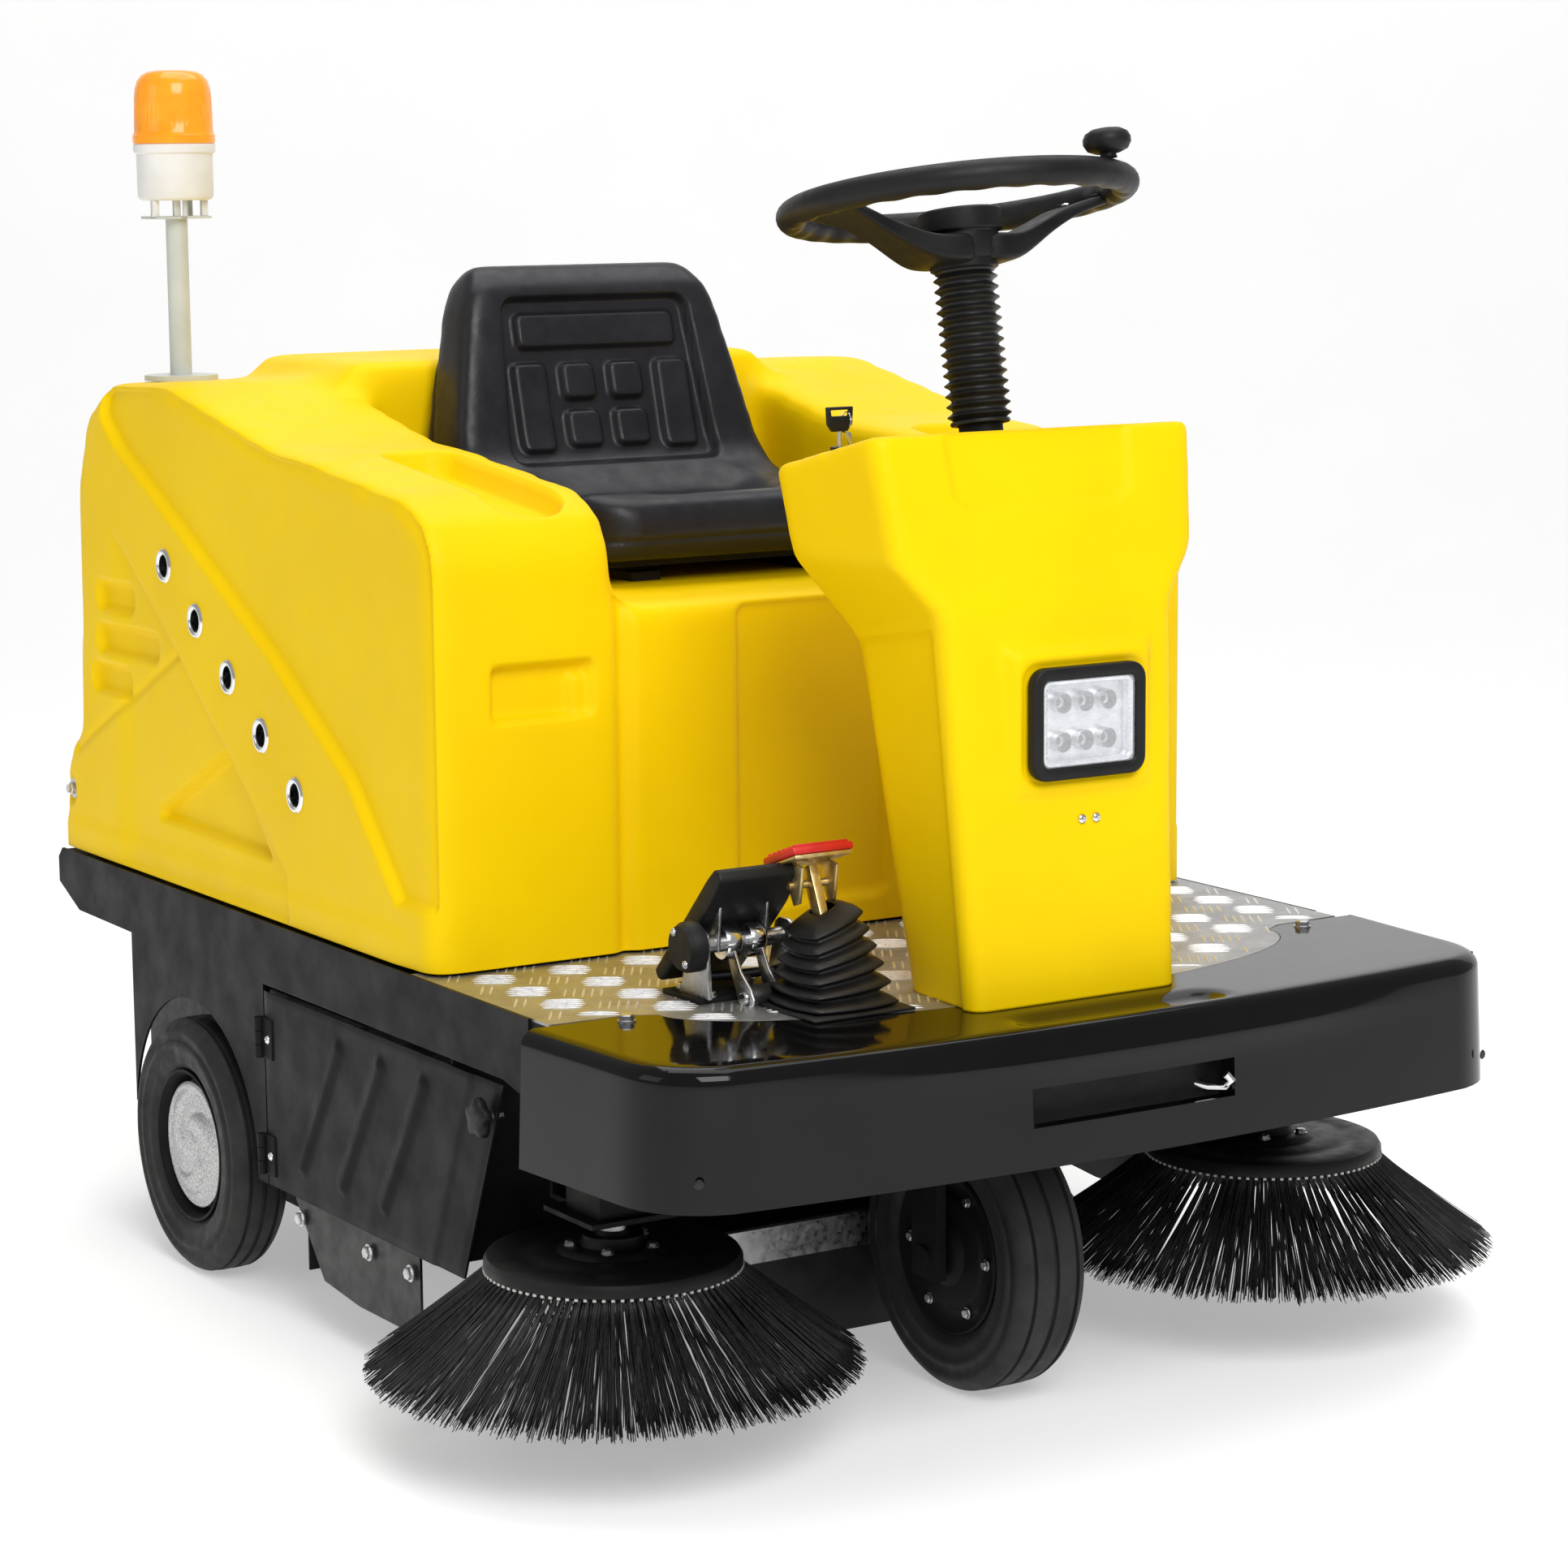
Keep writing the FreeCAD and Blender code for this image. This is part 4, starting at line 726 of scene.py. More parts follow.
def make_headlight():
    """Black bezel, dished reflector, six emitters behind a prismatic lens."""
    x, y, z = LAMP

    def slab(name, half_x, half_z, radius, low, high, material="black_plastic"):
        return prism(name, rounded_outline(x, z, half_x, half_z, radius), y + low, y + high, "Y", material)

    bezel = slab("bezel", 67.5, 55, 17, 0, 13)
    carve(bezel, slab("bezel_hole", 55, 43, 9, -20, 30))
    bevelled(bezel, 3.2, 3, 50)
    back = slab("lamp_back", 54.5, 42.5, 8, 10, 50)
    carve(back, slab("cavity", 53.4, 41.4, 8, 5, 24))
    # the dish and its wall wear the reflector look, whose faint glow is painted reflection
    dish = slab("dish", 53.2, 41.2, 8, 19, 23, "reflector")
    wall = slab("dish_wall", 53.2, 41.2, 8, 4, 19, "reflector")
    carve(wall, slab("dish_opening", 49.5, 37.5, 7, 0, 30, "reflector"))
    parts = [back, dish, wall]
    cup = [(4, -1), (6.5, 0.5), (8.4, 5), (9.4, 11), (10.2, 11), (9.6, -1), (4, -1)]
    led = [(0, 8), (3, 7), (5, 4), (5.6, 1), (5.6, 0), (0, 0)]
    chip = [(0, 1.4), (3.4, 1.4), (3.4, 0), (0, 0)]
    for row in (-1, 1):
        for column in (-1, 0, 1):
            at = (x + column * 27, y + 19, z + row * 19)
            parts.append(lathe("cup", cup, at, (0, -1, 0), "steel", 28))
            parts.append(lathe("emitter", led, at, (0, -1, 0), "clear_lens", 20))
            parts.append(lathe("chip", chip, at, (0, -1, 0), "black_plastic", 12))
    housing = combine("headlight_body", bezel, *parts)
    finish_piece(housing, "chassis", "black_plastic", "headlight_housing")
    columns, rows = 48, 36
    verts = []
    for j in range(rows + 1):
        for i in range(columns + 1):
            lift = 1.0 if i % 2 and j % 2 else 0.0
            verts.append((x - 54 + 108 * i / columns, y + 4 - lift, z - 42 + 84 * j / rows))
    faces = grid_faces(rows + 1, columns + 1, across=True)
    lens = new_object("headlight_glass", verts, faces, "clear_lens", 10)
    thicken(lens, -1.5)
    fix_normals(lens)
    finish_piece(lens, "chassis", "lens", "headlight_lens")


def rounded_outline(cx, cz, half_x, half_z, radius, steps=6):
    """Corner points of a rounded rectangle."""
    outline = []
    for corner, (sx, sz) in enumerate(((1, 1), (-1, 1), (-1, -1), (1, -1))):
        for i in range(steps + 1):
            a = math.pi / 2 * (corner + i / steps)
            outline.append((cx + sx * (half_x - radius) + radius * math.cos(a),
                            cz + sz * (half_z - radius) + radius * math.sin(a)))
    return outline


# ---------------------------------------------------------------- seat

def mirrored(half):
    """An outline from the points of its -X half."""
    return half + [(-x, other) for x, other in reversed(half)]


def make_seat():
    """Moulded seat: cushion and back in one, with raised pads in a sunk panel."""
    back_foot, back_head = (238, 926), (284, 1104)
    side = [(-84, 852), (-64, 822), (296, 822), (336, 900), (352, 1104), (338, 1128), (312, 1128), back_head,
            back_foot, (214, 900), (170, 886), (60, 882), (-36, 897), (-76, 888)]
    cushion = prism("seat_cushion", side, -210, 210, "X", "seat_vinyl")
    front = mirrored([(-176, 790), (-205, 850), (-203, 900), (-183, 1000), (-168, 1070), (-160, 1098),
                      (-143, 1124), (-112, 1144)])
    envelope = prism("envelope", front, -200, 500, "Y", "seat_vinyl")
    carve(cushion, envelope, "INTERSECT")
    plan = mirrored([(-214, 500), (-214, -10), (-192, -60), (-144, -94)])
    footprint = prism("footprint", plan, 700, 1300, "Z", "seat_vinyl")
    carve(cushion, footprint, "INTERSECT")
    voxel(cushion, 6)
    relax(cushion, 40)
    voxel(cushion, 3)
    relax(cushion, 8)
    points, normals = points_of(cushion)
    x, y, z = points.T
    slope = Vector((0, back_head[0] - back_foot[0], back_head[1] - back_foot[1])).normalized()
    out = np.array((0, -slope.z, slope.y))
    faces_driver = step(normals @ out - 0.55, 0.4) * (z > 890)
    half = 120 + 0.08 * (1088 - z)
    panel = 14 * step(rounded_box(x * 130 / half, z, 0, 1000, 130, 92, 16), 7)
    raised = np.zeros(len(x))
    pads = [(0, 1056, 104, 20), (-93, 971, 22, 50), (93, 971, 22, 50)]
    pads += [(sx * 31, cz, 22, 21) for sx in (-1, 1) for cz in (999, 946)]
    for cx, cz, half_x, half_z in pads:
        raised = np.maximum(raised, 8 * step(rounded_box(x, z, cx, cz, half_x, half_z, 9) - 1, 6))
    depth = (panel - raised) * faces_driver
    points -= depth[:, None] * out[None, :]
    on_seat = step(normals[:, 2] - 0.6, 0.3) * (z < 910)
    dish = 15 * step(rounded_box(x, y, 0, 80, 130, 112, 40), 60)
    points[:, 2] -= dish * on_seat
    on_edge = step(np.abs(normals[:, 0]) - 0.5, 0.4)
    seam_y = [(354, 1096), (304, 900), (250, 850), (-90, 846)]
    seam = 3 * bell(path_distance(y, z, seam_y), 2.6)
    points[:, 0] -= np.sign(x) * seam * on_edge
    points[:, 1] += 3 * bell(z - 846, 2.6) * step(-normals[:, 1] - 0.5, 0.4) * (z < 880)
    set_points(cushion, points)
    relax(cushion, 1, 0.35)
    soften(cushion, 0)
    finish_piece(cushion, "seat", "seat_vinyl", "seat")


# ---------------------------------------------------------------- bumper and deck

def bumper_outline():
    """Half outline from the rear end of the +X side to the middle of the front."""
    points = [(522, -468), (519, -510), (515, -560), (511.5, -610)]
    start, middle, end = Vector((510, -632)), Vector((505, -704)), Vector((440, -723))
    for i in range(9):
        t = i / 8
        points.append(tuple((1 - t) ** 2 * start + 2 * t * (1 - t) * middle + t * t * end))
    for i in range(1, 41):
        x = 440 * (1 - i / 40)
        points.append((x, -750 + 27 * (x / 440) ** 2))
    return points


def make_bumper():
    """Glossy skin with a rolled top edge, a shallow tray, a tow slot and its hook."""
    half = bumper_outline()
    outline = [Vector(p) for p in half] + [Vector((-x, y)) for x, y in reversed(half[:-1])]
    n = len(outline)
    inward = []
    for i in range(n):
        ahead = (outline[min(i + 1, n - 1)] - outline[max(i - 1, 0)]).normalized()
        inward.append(Vector((ahead.y, -ahead.x)) * -1)
    if inward[0].x > 0:
        inward = [-v for v in inward]
    bays = [(500, -468), (487, -468), (401, -469)]
    bays += [(376 * math.cos(t), -482 - 140 * math.sin(t)) for t in np.linspace(0, math.pi, 61)]
    bays += [(-401, -469), (-487, -468), (-500, -468)]
    bay = resample(bays, n)
    bottom, shoulder, roll_in, roll_up = 300, 418, 17, 16
    heights = [bottom, 305, 322, 340, 359, 378, 392, 400, 406, 412, shoulder]
    verts = []
    for i, p in enumerate(outline):
        x = p.x
        middle = 1 / (1 + (abs(x - 20) / 230) ** 6)
        column = []
        for z in heights:
            swell = 7 * middle * math.exp(-((z - 404) / 11) ** 2)
            draft = (z - bottom) / (shoulder - bottom) * 5
            column.append((draft - swell, z))
        for k in range(1, 9):
            a = math.pi / 2 * k / 8
            column.append((5 + roll_in * (1 - math.cos(a)), shoulder + roll_up * math.sin(a)))
        for inset, z in column:
            q = p + inward[i] * inset
            verts.append((q.x, q.y, z))
        edge = p + inward[i] * (5 + roll_in)
        for k in range(1, 13):
            q = edge.lerp(Vector(bay[i]), k / 12)
            in_tray = rounded_box(np.array(q.x), np.array(q.y), 12, -712, 118, 25, 18)
            verts.append((q.x, q.y, DECK_TOP - 5.5 * float(step(in_tray, 22))))
    rows = len(verts) // n
    faces = []
    for i in range(n - 1):
        for k in range(rows - 1):
            a, b = i * rows + k, (i + 1) * rows + k
            xs = [verts[a][0], verts[b][0]]
            zs = [verts[a][2], verts[a + 1][2]]
            if max(map(abs, xs)) < 121 and min(zs) >= 339 and max(zs) <= 379:
                continue
            faces.append((a, b, b + 1, a + 1))
    shell = new_object("bumper_skin", verts, faces, "bumper_gloss", 0)
    fix_normals(shell)
    thicken(shell, 4)
    fix_normals(shell)
    soften(shell, 50)
    hook_path = [(96, -700, 350), (108, -722, 347), (116, -738, 349), (118, -744, 356), (112, -742, 362)]
    hook = tube_along("hook", hook_path, 4.5, "chrome")
    slot_outline = [(-128, 334), (128, 334), (128, 384), (-128, 384)]
    lining = prism("slot_back", slot_outline, -712, -708, "Y", "black_plastic")
    screws = [hex_bolt(f"bumper_bolt_{s}", (415 * s, -491, DECK_TOP), (0, 0, 1), 6.5, 6, 9) for _, s in SIDES]
    plug = [(0, 1.5), (4, 1.2), (5, 0), (0, 0)]
    plugs = []
    for _, s in SIDES:
        plugs.append(lathe(f"plug_{s}", plug, (470 * s, -714.5, 330), (0.3 * s, -0.95, 0), "rubber", 16))
    combine("bumper_skin", shell, lining, hook, *screws, *plugs)
    finish_piece(shell, "chassis", "bumper_gloss", "front_bumper")


def resample(points, count):
    """Evenly spaced points along a polyline."""
    line = np.array(points, dtype=float)
    length = np.concatenate([[0], np.cumsum(np.hypot(*np.diff(line, axis=0).T))])
    at = np.linspace(0, length[-1], count)
    along_x, along_y = (np.interp(at, length, line[:, k]) for k in (0, 1))
    return [(float(x), float(y)) for x, y in zip(along_x, along_y)]


def make_deck():
    """Chequer plate: five-bar bundles in two directions on an aluminium sheet."""
    edge = [(375 * math.cos(t), -482 - 139 * math.sin(t)) for t in np.linspace(0, math.pi / 2, 20)]
    half = [(483.5, -174), (483.5, -463), (400, -467)] + edge
    outline = half + [(-x, y) for x, y in reversed(half[:-1])]
    sheet = prism("deck_sheet", outline, DECK_TOP - 3, DECK_TOP, "Z", "chequer_plate")
    pitch_x, pitch_y, bar_pitch = 43.0, 35.0, 9.0
    verts, faces = [], []
    for row in range(-9, 10):
        for column in range(-12, 13):
            if (row + column) % 2:
                continue
            angle = math.radians(58 if row % 2 else -32)
            along = Vector((math.cos(angle), math.sin(angle)))
            across = Vector((-along.y, along.x))
            centre = Vector((column * pitch_x + 3, -317 + row * pitch_y))
            for bar in range(-2, 3):
                middle = centre + across * bar * bar_pitch
                reach = 23 - abs(bar) * 1.8
                ends = np.array([middle + along * reach, middle - along * reach])
                inside = region(ends[:, 0], ends[:, 1], outline) > 3
                if inside.all() and ends[:, 1].max() < -182:
                    add_bar(verts, faces, middle, along, across, reach)
    bars = new_object("deck_bars", verts, faces, "bar_metal", 30)
    deck = combine("deck_chequer", sheet, bars)
    finish_piece(deck, "chassis", "chequer_plate", "deck_plate")


def add_bar(verts, faces, middle, along, across, half):
    """One lens-shaped raised bar."""
    base = len(verts)
    steps = 6
    for i in range(steps + 1):
        t = -1 + 2 * i / steps
        wide = 1.4 * math.sqrt(max(0.05, 1 - t * t))
        high = 1.5 * math.sqrt(max(0.02, 1 - t * t))
        p = middle + along * half * t
        for side, lift in ((-1, 0.0), (0, high), (1, 0.0)):
            q = p + across * side * wide
            verts.append((q.x, q.y, DECK_TOP - 0.1 + lift))
    faces += grid_faces(steps + 1, 3, base=base)


# ---------------------------------------------------------------- wheels

def tyre(name, width, at, axis):
    """Tyre with a stepped side wall and three grooves in the tread."""
    half, radius = width / 2, WHEEL_RADIUS
    wall = [(88, 10), (92, 7), (96, 3.5), (100, 3), (110, 2.4), (113, 0.2), (116, 0), (119, 0.6), (121, 2.6),
            (126, 2.6), (129, 0.8), (133, 1.4)]
    tread = [(8, 4.5), (3.5, 9), (1.2, 13.5), (0.6, 15), (4, 16), (4, 19), (0.4, 20), (0, 24), (0, 30)]
    side = [(r, half - inset) for r, inset in wall]
    side += [(radius - depth, half - inset) for depth, inset in tread]
    middle = [(radius, 3.2), (radius - 3.5, 2.2), (radius - 3.5, -2.2), (radius, -3.2)]
    bead = [(86, 12 - half), (86, half - 12)]
    profile = side + middle + [(r, -h) for r, h in reversed(side)] + bead
    return lathe(name, profile + profile[:1], at, axis, "tyre", 112, 40)


def hub_cap(name, at, axis, radius=64):
    """Cast cap with three raised curling blades."""
    verts = []
    turn = facing(axis)
    rings, steps = 26, 120
    for j in range(rings + 1):
        share = j / rings
        r = radius * share
        lip = 2.4 * math.exp(-((r - radius * 0.95) / 2.4) ** 2)
        boss = 3.0 / (1 + math.exp((r - 15) / 1.2)) - 1.4 * math.exp(-((r - 10) / 1.5) ** 2)
        dome = 5 * math.cos(share * math.pi / 2)
        crown = 5.0 * math.sin(math.pi * min(1, max(0, (share - 0.2) / 0.76)))
        for i in range(steps):
            a = 2 * math.pi * i / steps
            curl = (a * 3 + 7.48 * share) % (2 * math.pi)
            blade = max(0.0, math.sin(curl)) ** 0.4 if 0.24 < share < 0.93 else 0.0
            h = dome + lip + boss + crown * blade
            verts.append(tuple(turn @ Vector((r * math.cos(a), r * math.sin(a), h)) + Vector(at)))
    faces = grid_faces(rings + 1, steps, wrap_columns=True, across=True)
    cap = new_object(name, verts, faces, "rim_metal", 0)
    fix_normals(cap)
    thicken(cap, 2)
    fix_normals(cap)
    soften(cap, 60)
    return cap


def make_rear_wheels():
    for name, side in SIDES:
        at = (side * REAR_WHEEL[0], REAR_WHEEL[1], WHEEL_RADIUS)
        out = (side, 0, 0)
        piece = tyre(f"tyre_{name}", 69, at, out)
        finish_piece(piece, f"rear_wheel_{name}", "tyre", f"rear_tyre_{name}")
        dish = [(86.5, 28), (84, 28.5), (82, 26), (79, 15), (74, 9), (66, 7), (40, 7), (16.2, 7), (16.2, -28),
                (30, -28), (34, -20), (78, -22), (82, -26), (86.5, -26)]
        rim = lathe(f"rim_{name}", dish + dish[:1], at, out, "black_paint", 72)
        cap = hub_cap("cap", Vector(at) + Vector(out) * 20, out, 72)
        rim = join(rim, cap)
        finish_piece(rim, f"rear_wheel_{name}", "rim_metal", f"rear_rim_{name}")


def make_front_wheel():
    at = (0, FRONT_WHEEL_Y, WHEEL_RADIUS)
    piece = tyre("tyre_front", 86, at, (1, 0, 0))
    finish_piece(piece, "front_wheel", "tyre", "front_tyre")
    half = [(86.5, 34), (84, 36), (80, 34), (72, 30), (62, 31), (58, 35), (36, 37), (30, 43), (26, 44.8),
            (10.2, 44.8)]
    profile = half + [(r, -h) for r, h in reversed(half)]
    hub = lathe("hub_front", profile + profile[:1], at, (1, 0, 0), "black_paint", 72)
    bolts = []
    for side in (-1, 1):
        for i in range(6):
            a = math.pi * i / 3
            spot = (side * 31, at[1] + 67 * math.cos(a), at[2] + 67 * math.sin(a))
            bolts.append(hex_bolt(f"hub_bolt_{side}_{i}", spot, (side, 0, 0), 4.5, 4, 6))
    hub = join(hub, *bolts)
    finish_piece(hub, "front_wheel", "rim_metal", "drive_hub")


# ---------------------------------------------------------------- brushes

def make_side_brush(name, side):
    """Moulded disc on its shaft, a ring of wire staples and three rows of bristle tufts."""
    x, y = SIDE_BRUSH[0] * side, SIDE_BRUSH[1]
    up = (0, 0, 1)
    rng = random.Random(11 + side)
    disc = [(0, 183), (110, 183), (112, 180.5), (125, 180.5), (127, 183), (127, 190), (124, 195),
            (118, 197.5), (100, 198), (96, 196.5), (84, 196.5), (80, 198.5), (56, 198.5), (52, 202),
            (48, 204), (34, 204), (31, 208), (30, 214), (18, 214), (16, 218), (9.5, 218), (9.5, 257),
            (0, 257)]
    plate = lathe(f"brush_plate_{name}", disc, (x, y, 0), up, "black_plastic", 96)
    bolts = []
    for i in range(5):
        a = 2 * math.pi * i / 5 + 0.3
        spot = (x + 42 * math.cos(a), y + 42 * math.sin(a), 203.5)
        bolts.append(hex_bolt(f"plate_bolt_{i}", spot, up, 5, 4, 7))
    sleeve = [(9.6, 218), (14, 218), (14, 224), (11, 226), (11, 231.5), (9.6, 231.5)]
    shaft = lathe("shaft_sleeve", sleeve, (x, y, 0), up, "steel", 32)
    combine(plate.name, plate, shaft, make_staples(x, y), *bolts)
    finish_piece(plate, f"side_brush_{name}", "black_plastic", f"side_brush_disc_{name}")
    verts, faces = [], []
    tufts = 96
    for ring, (root_r, tip_r, drop) in enumerate(((119, 249, 80), (113, 238, 82), (104, 222, 84))):
        for i in range(tufts):
            tuft_angle = 2 * math.pi * (i + 0.5 * ring) / tufts
            for _ in range(11):
                a0 = tuft_angle + rng.uniform(-0.012, 0.012)
                spread = rng.gauss(0, 1)
                a1 = tuft_angle + spread * 0.022
                r0 = root_r + rng.uniform(-2.5, 2.5)
                r1 = tip_r - abs(rng.gauss(0, 5)) - rng.uniform(0, 5)
                z1 = drop + rng.uniform(-2, 5) + abs(spread) * 2
                add_filament(verts, faces, x, y, (a0, r0, 182), (a1, r1, z1), 0.75, 5)
    bristles = new_object(f"bristles_{name}", verts, faces, "bristle", 0)
    finish_piece(bristles, f"side_brush_{name}", "bristle", f"side_bristles_{name}")


def make_staples(x, y):
    """Wire staples that hold the tufts, around the rim of the disc."""
    count, rim, z = 90, 125.8, 181.5
    corners = ((-1.6, -1.2), (1.6, -1.2), (1.6, 1.2), (-1.6, 1.2))
    box = ((1, 3, 5, 7), (0, 1, 7, 6), (0, 2, 3, 1), (2, 4, 5, 3), (4, 6, 7, 5), (0, 6, 4, 2))
    verts, faces = [], []
    for i in range(count):
        a = 2 * math.pi * i / count
        out = Vector((math.cos(a), math.sin(a), 0))
        across = Vector((-out.y, out.x, 0))
        spot = Vector((x, y, z)) + out * rim
        base = len(verts)
        for du, dz in corners:
            for lift in (0, 2.0):
                verts.append(tuple(spot + across * du + out * lift + Vector((0, 0, dz))))
        faces += [tuple(base + corner for corner in face) for face in box]
    return new_object("staples", verts, faces, "grey_paint", 30)


def add_filament(verts, faces, cx, cy, root, tip, radius, segments):
    """A thin three-sided bristle that sags outwards from root to tip."""
    base = len(verts)
    for i in range(segments + 1):
        t = i / segments
        a = root[0] + (tip[0] - root[0]) * t
        r = root[1] + (tip[1] - root[1]) * (t * 0.82 + 0.18 * t * t)
        z = root[2] + (tip[2] - root[2]) * (t * 0.9 + 0.1 * t * t)
        width = radius * (1 - 0.35 * t)
        px, py = cx + r * math.cos(a), cy + r * math.sin(a)
        ux, uy = -math.sin(a) * width, math.cos(a) * width
        ox, oy = math.cos(a) * width, math.sin(a) * width
        verts.append((px + ux, py + uy, z - 0.4 * width))
        verts.append((px - ux, py - uy, z - 0.4 * width))
        verts.append((px + ox * 0.5, py + oy * 0.5, z + width))
    faces += grid_faces(segments + 1, 3, wrap_columns=True, across=True, base=base)
    faces.append((base, base + 1, base + 2))
    end = base + 3 * segments
    faces.append((end, end + 2, end + 1))


def make_main_brush():
    """Roller broom with eight spiralling rows of tufts, on its axle with the belt pulley."""
    rng = random.Random(5)
    y, z = BROOM
    at, along = (0, y, z), (1, 0, 0)
    core_reach, wire = 48, 0.8
    core = lathe("broom_core", [(0, -340), (50, -340), (50, 340), (0, 340)], at, along, "black_plastic", 48)
    axle = lathe("broom_axle", [(0, -375), (14, -375), (14, 375), (0, 375)], at, along, "steel", 32)
    groove = [(0, 358), (45, 358), (43, 361), (43, 371), (45, 374), (0, 374)]
    pulley = lathe("broom_pulley", groove, at, along, "steel", 48)
    verts, faces = [], []
    for row in range(8):
        for i in range(44):
            x = -334 + 668 * i / 43
            lead = math.radians(row * 45) + 0.55 * (x / 340)
            for _ in range(7):
                angle = lead + rng.uniform(-0.05, 0.05)
                reach = 140 - rng.uniform(0, 4)
                off = rng.uniform(-7, 7)
                base = len(verts)
                for t in (0.0, 1.0):
                    r = core_reach + (reach - core_reach) * t
                    py = y + r * math.sin(-angle)
                    pz = z + r * math.cos(angle)
                    px = x + off * (0.3 + 0.7 * t)
                    for k in range(3):
                        b = 2 * math.pi * k / 3
                        verts.append((px + wire * math.cos(b), py + wire * math.sin(b) * math.cos(angle),
                                      pz + wire * math.sin(b) * math.sin(angle)))
                faces += grid_faces(2, 3, wrap_columns=True, across=True, base=base)
                faces.append((base + 3, base + 4, base + 5))
    tufts = new_object("broom_tufts", verts, faces, "bristle", 0)
    fix_normals(tufts)
    broom = combine("main_broom", tufts, core, axle, pulley)
    finish_piece(broom, "main_brush", "bristle", "main_brush")


# ---------------------------------------------------------------- steering

COLUMN_PLACE = (Matrix.Translation(Vector((0, COLUMN_FOOT_Y, DECK_TOP)) * MM)
                @ Matrix.Rotation(-COLUMN_LEAN, 4, "X"))


def on_column(obj):
    """Move a piece made around the upright axis onto the leaning column."""
    obj.data.transform(COLUMN_PLACE)
    return obj


def make_bellows():
    """Rubber gaiter of fourteen folds around the column."""
    foot, pitch = 564, 10.4
    fold = [(26.5, 0.8), (28.5, 2.6), (31.3, 4.2), (32.2, 5.2), (31.3, 6.2), (28.5, 7.8), (26.5, 9.6)]
    profile = [(24.3, 560), (29, 560), (30, 562), (29, foot)]
    for i in range(14):
        profile += [(r, foot + i * pitch + h) for r, h in fold]
    profile += [(29.5, 710), (30, 712), (24.3, 712)]
    gaiter = on_column(lathe("gaiter", profile + profile[:1], (0, 0, 0), (0, 0, 1), "rubber", 56, 60))
    finish_piece(gaiter, "chassis", "rubber", "column_bellows")


WHEEL_UP, RIM_RADIUS, GRIP = 782, 165, 15.5


def make_rim():
    """Ring with finger dents on its inner, lower side."""
    around, ring, dents = 180, 20, 26
    verts = []
    for i in range(around):
        a = 2 * math.pi * i / around
        for k in range(ring):
            b = 2 * math.pi * k / ring
            under = max(0.0, math.cos(b - math.pi * 1.2)) ** 1.5
            r = GRIP - 3.2 * (0.5 + 0.5 * math.cos(a * dents)) * under
            reach = RIM_RADIUS + r * math.cos(b)
            verts.append((reach * math.cos(a), reach * math.sin(a), WHEEL_UP + r * math.sin(b) * 0.95))
    rim = new_object("wheel_rim", verts, grid_faces(around, ring, True, True), "black_plastic", 0)
    fix_normals(rim)
    return rim


def make_steering_wheel():
    """Rim, hub and two pressed spokes with their screws and rivets."""
    upward = (0, 0, 1)
    hub = [(12.1, -70), (31, -70), (34, -68), (34, -60), (37, -56), (38, -40), (37, -35), (38, -33),
           (41, -32.4), (42, -31), (42, -12.5), (40.5, -10.5), (37, -10), (0, -10), (0, -31), (12.1, -31)]
    parts = [lathe("wheel_hub", hub, (0, 0, WHEEL_UP), upward, "black_plastic", 72)]
    rivet = [(0, 3.0), (3.4, 2.4), (4.6, 0), (0, 0)]
    for side in (-1, 1):
        parts.append(make_spoke(side))
        for across in (-30, 30):
            spot = (side * 148, across, WHEEL_UP - 2.5)
            parts.append(lathe("rivet", rivet, spot, upward, "black_plastic", 16))
        parts.append(pan_screw("spoke_screw", (side * 132, 0, WHEEL_UP - 6.4), upward, 4.4))
    wheel = on_column(combine("wheel_body", make_rim(), *parts))
    finish_piece(wheel, "steering_wheel", "black_plastic", "steering_wheel")


def make_spinner():
    """Mushroom knob on a short stem, on top of the rim."""
    profile = [(0, 2), (9, 2), (8, 4), (8, 6), (13, 7), (20, 10), (23.5, 16), (23.5, 21), (21, 26),
               (15, 29.5), (7, 30.8), (0, 31)]
    a = math.radians(-60)
    at = (RIM_RADIUS * math.cos(a), RIM_RADIUS * math.sin(a), WHEEL_UP + GRIP - 2)
    knob = on_column(lathe("spinner", profile, at, (0, 0, 1), "black_plastic", 48, 50))
    finish_piece(knob, "spinner_knob", "black_plastic", "spinner_knob")


def make_spoke(side):
    """Pressed spoke with raised edges that dips from the rim down to the hub."""
    # Distance from the hub, underside, top and half width along the spoke.
    levels = [(0, -66, -36, 40), (30, -66, -36, 40), (46, -64, -36, 37), (60, -58, -33, 33),
              (76, -49, -27, 29), (94, -38, -20, 25), (112, -28, -12, 26), (128, -20, -7, 30),
              (146, -14, -3, 38), (160, -11, 1, 45), (170, -9, 2, 48)]
    ring = 20
    verts = []
    for x, low, high, half in levels:
        for k in range(ring):
            b = 2 * math.pi * k / ring
            cy = half * math.copysign(abs(math.cos(b)) ** 0.35, math.cos(b))
            cz = (high - low) / 2 * math.copysign(abs(math.sin(b)) ** 0.35, math.sin(b))
            hollow = 3.0 * max(0.0, math.sin(b)) * (1 - min(1.0, abs(cy) / (half * 0.72))) if x > 40 else 0.0
            verts.append((side * x, cy, WHEEL_UP + (low + high) / 2 + cz - hollow))
    faces = grid_faces(len(levels), ring, wrap_columns=True, across=True) + end_caps(ring, len(levels))
    spoke = new_object("spoke", verts, faces, "black_plastic", 0)
    fix_normals(spoke)
    modify(spoke, "SUBSURF", levels=2, render_levels=2)
    return bake(spoke)


# ---------------------------------------------------------------- beacon

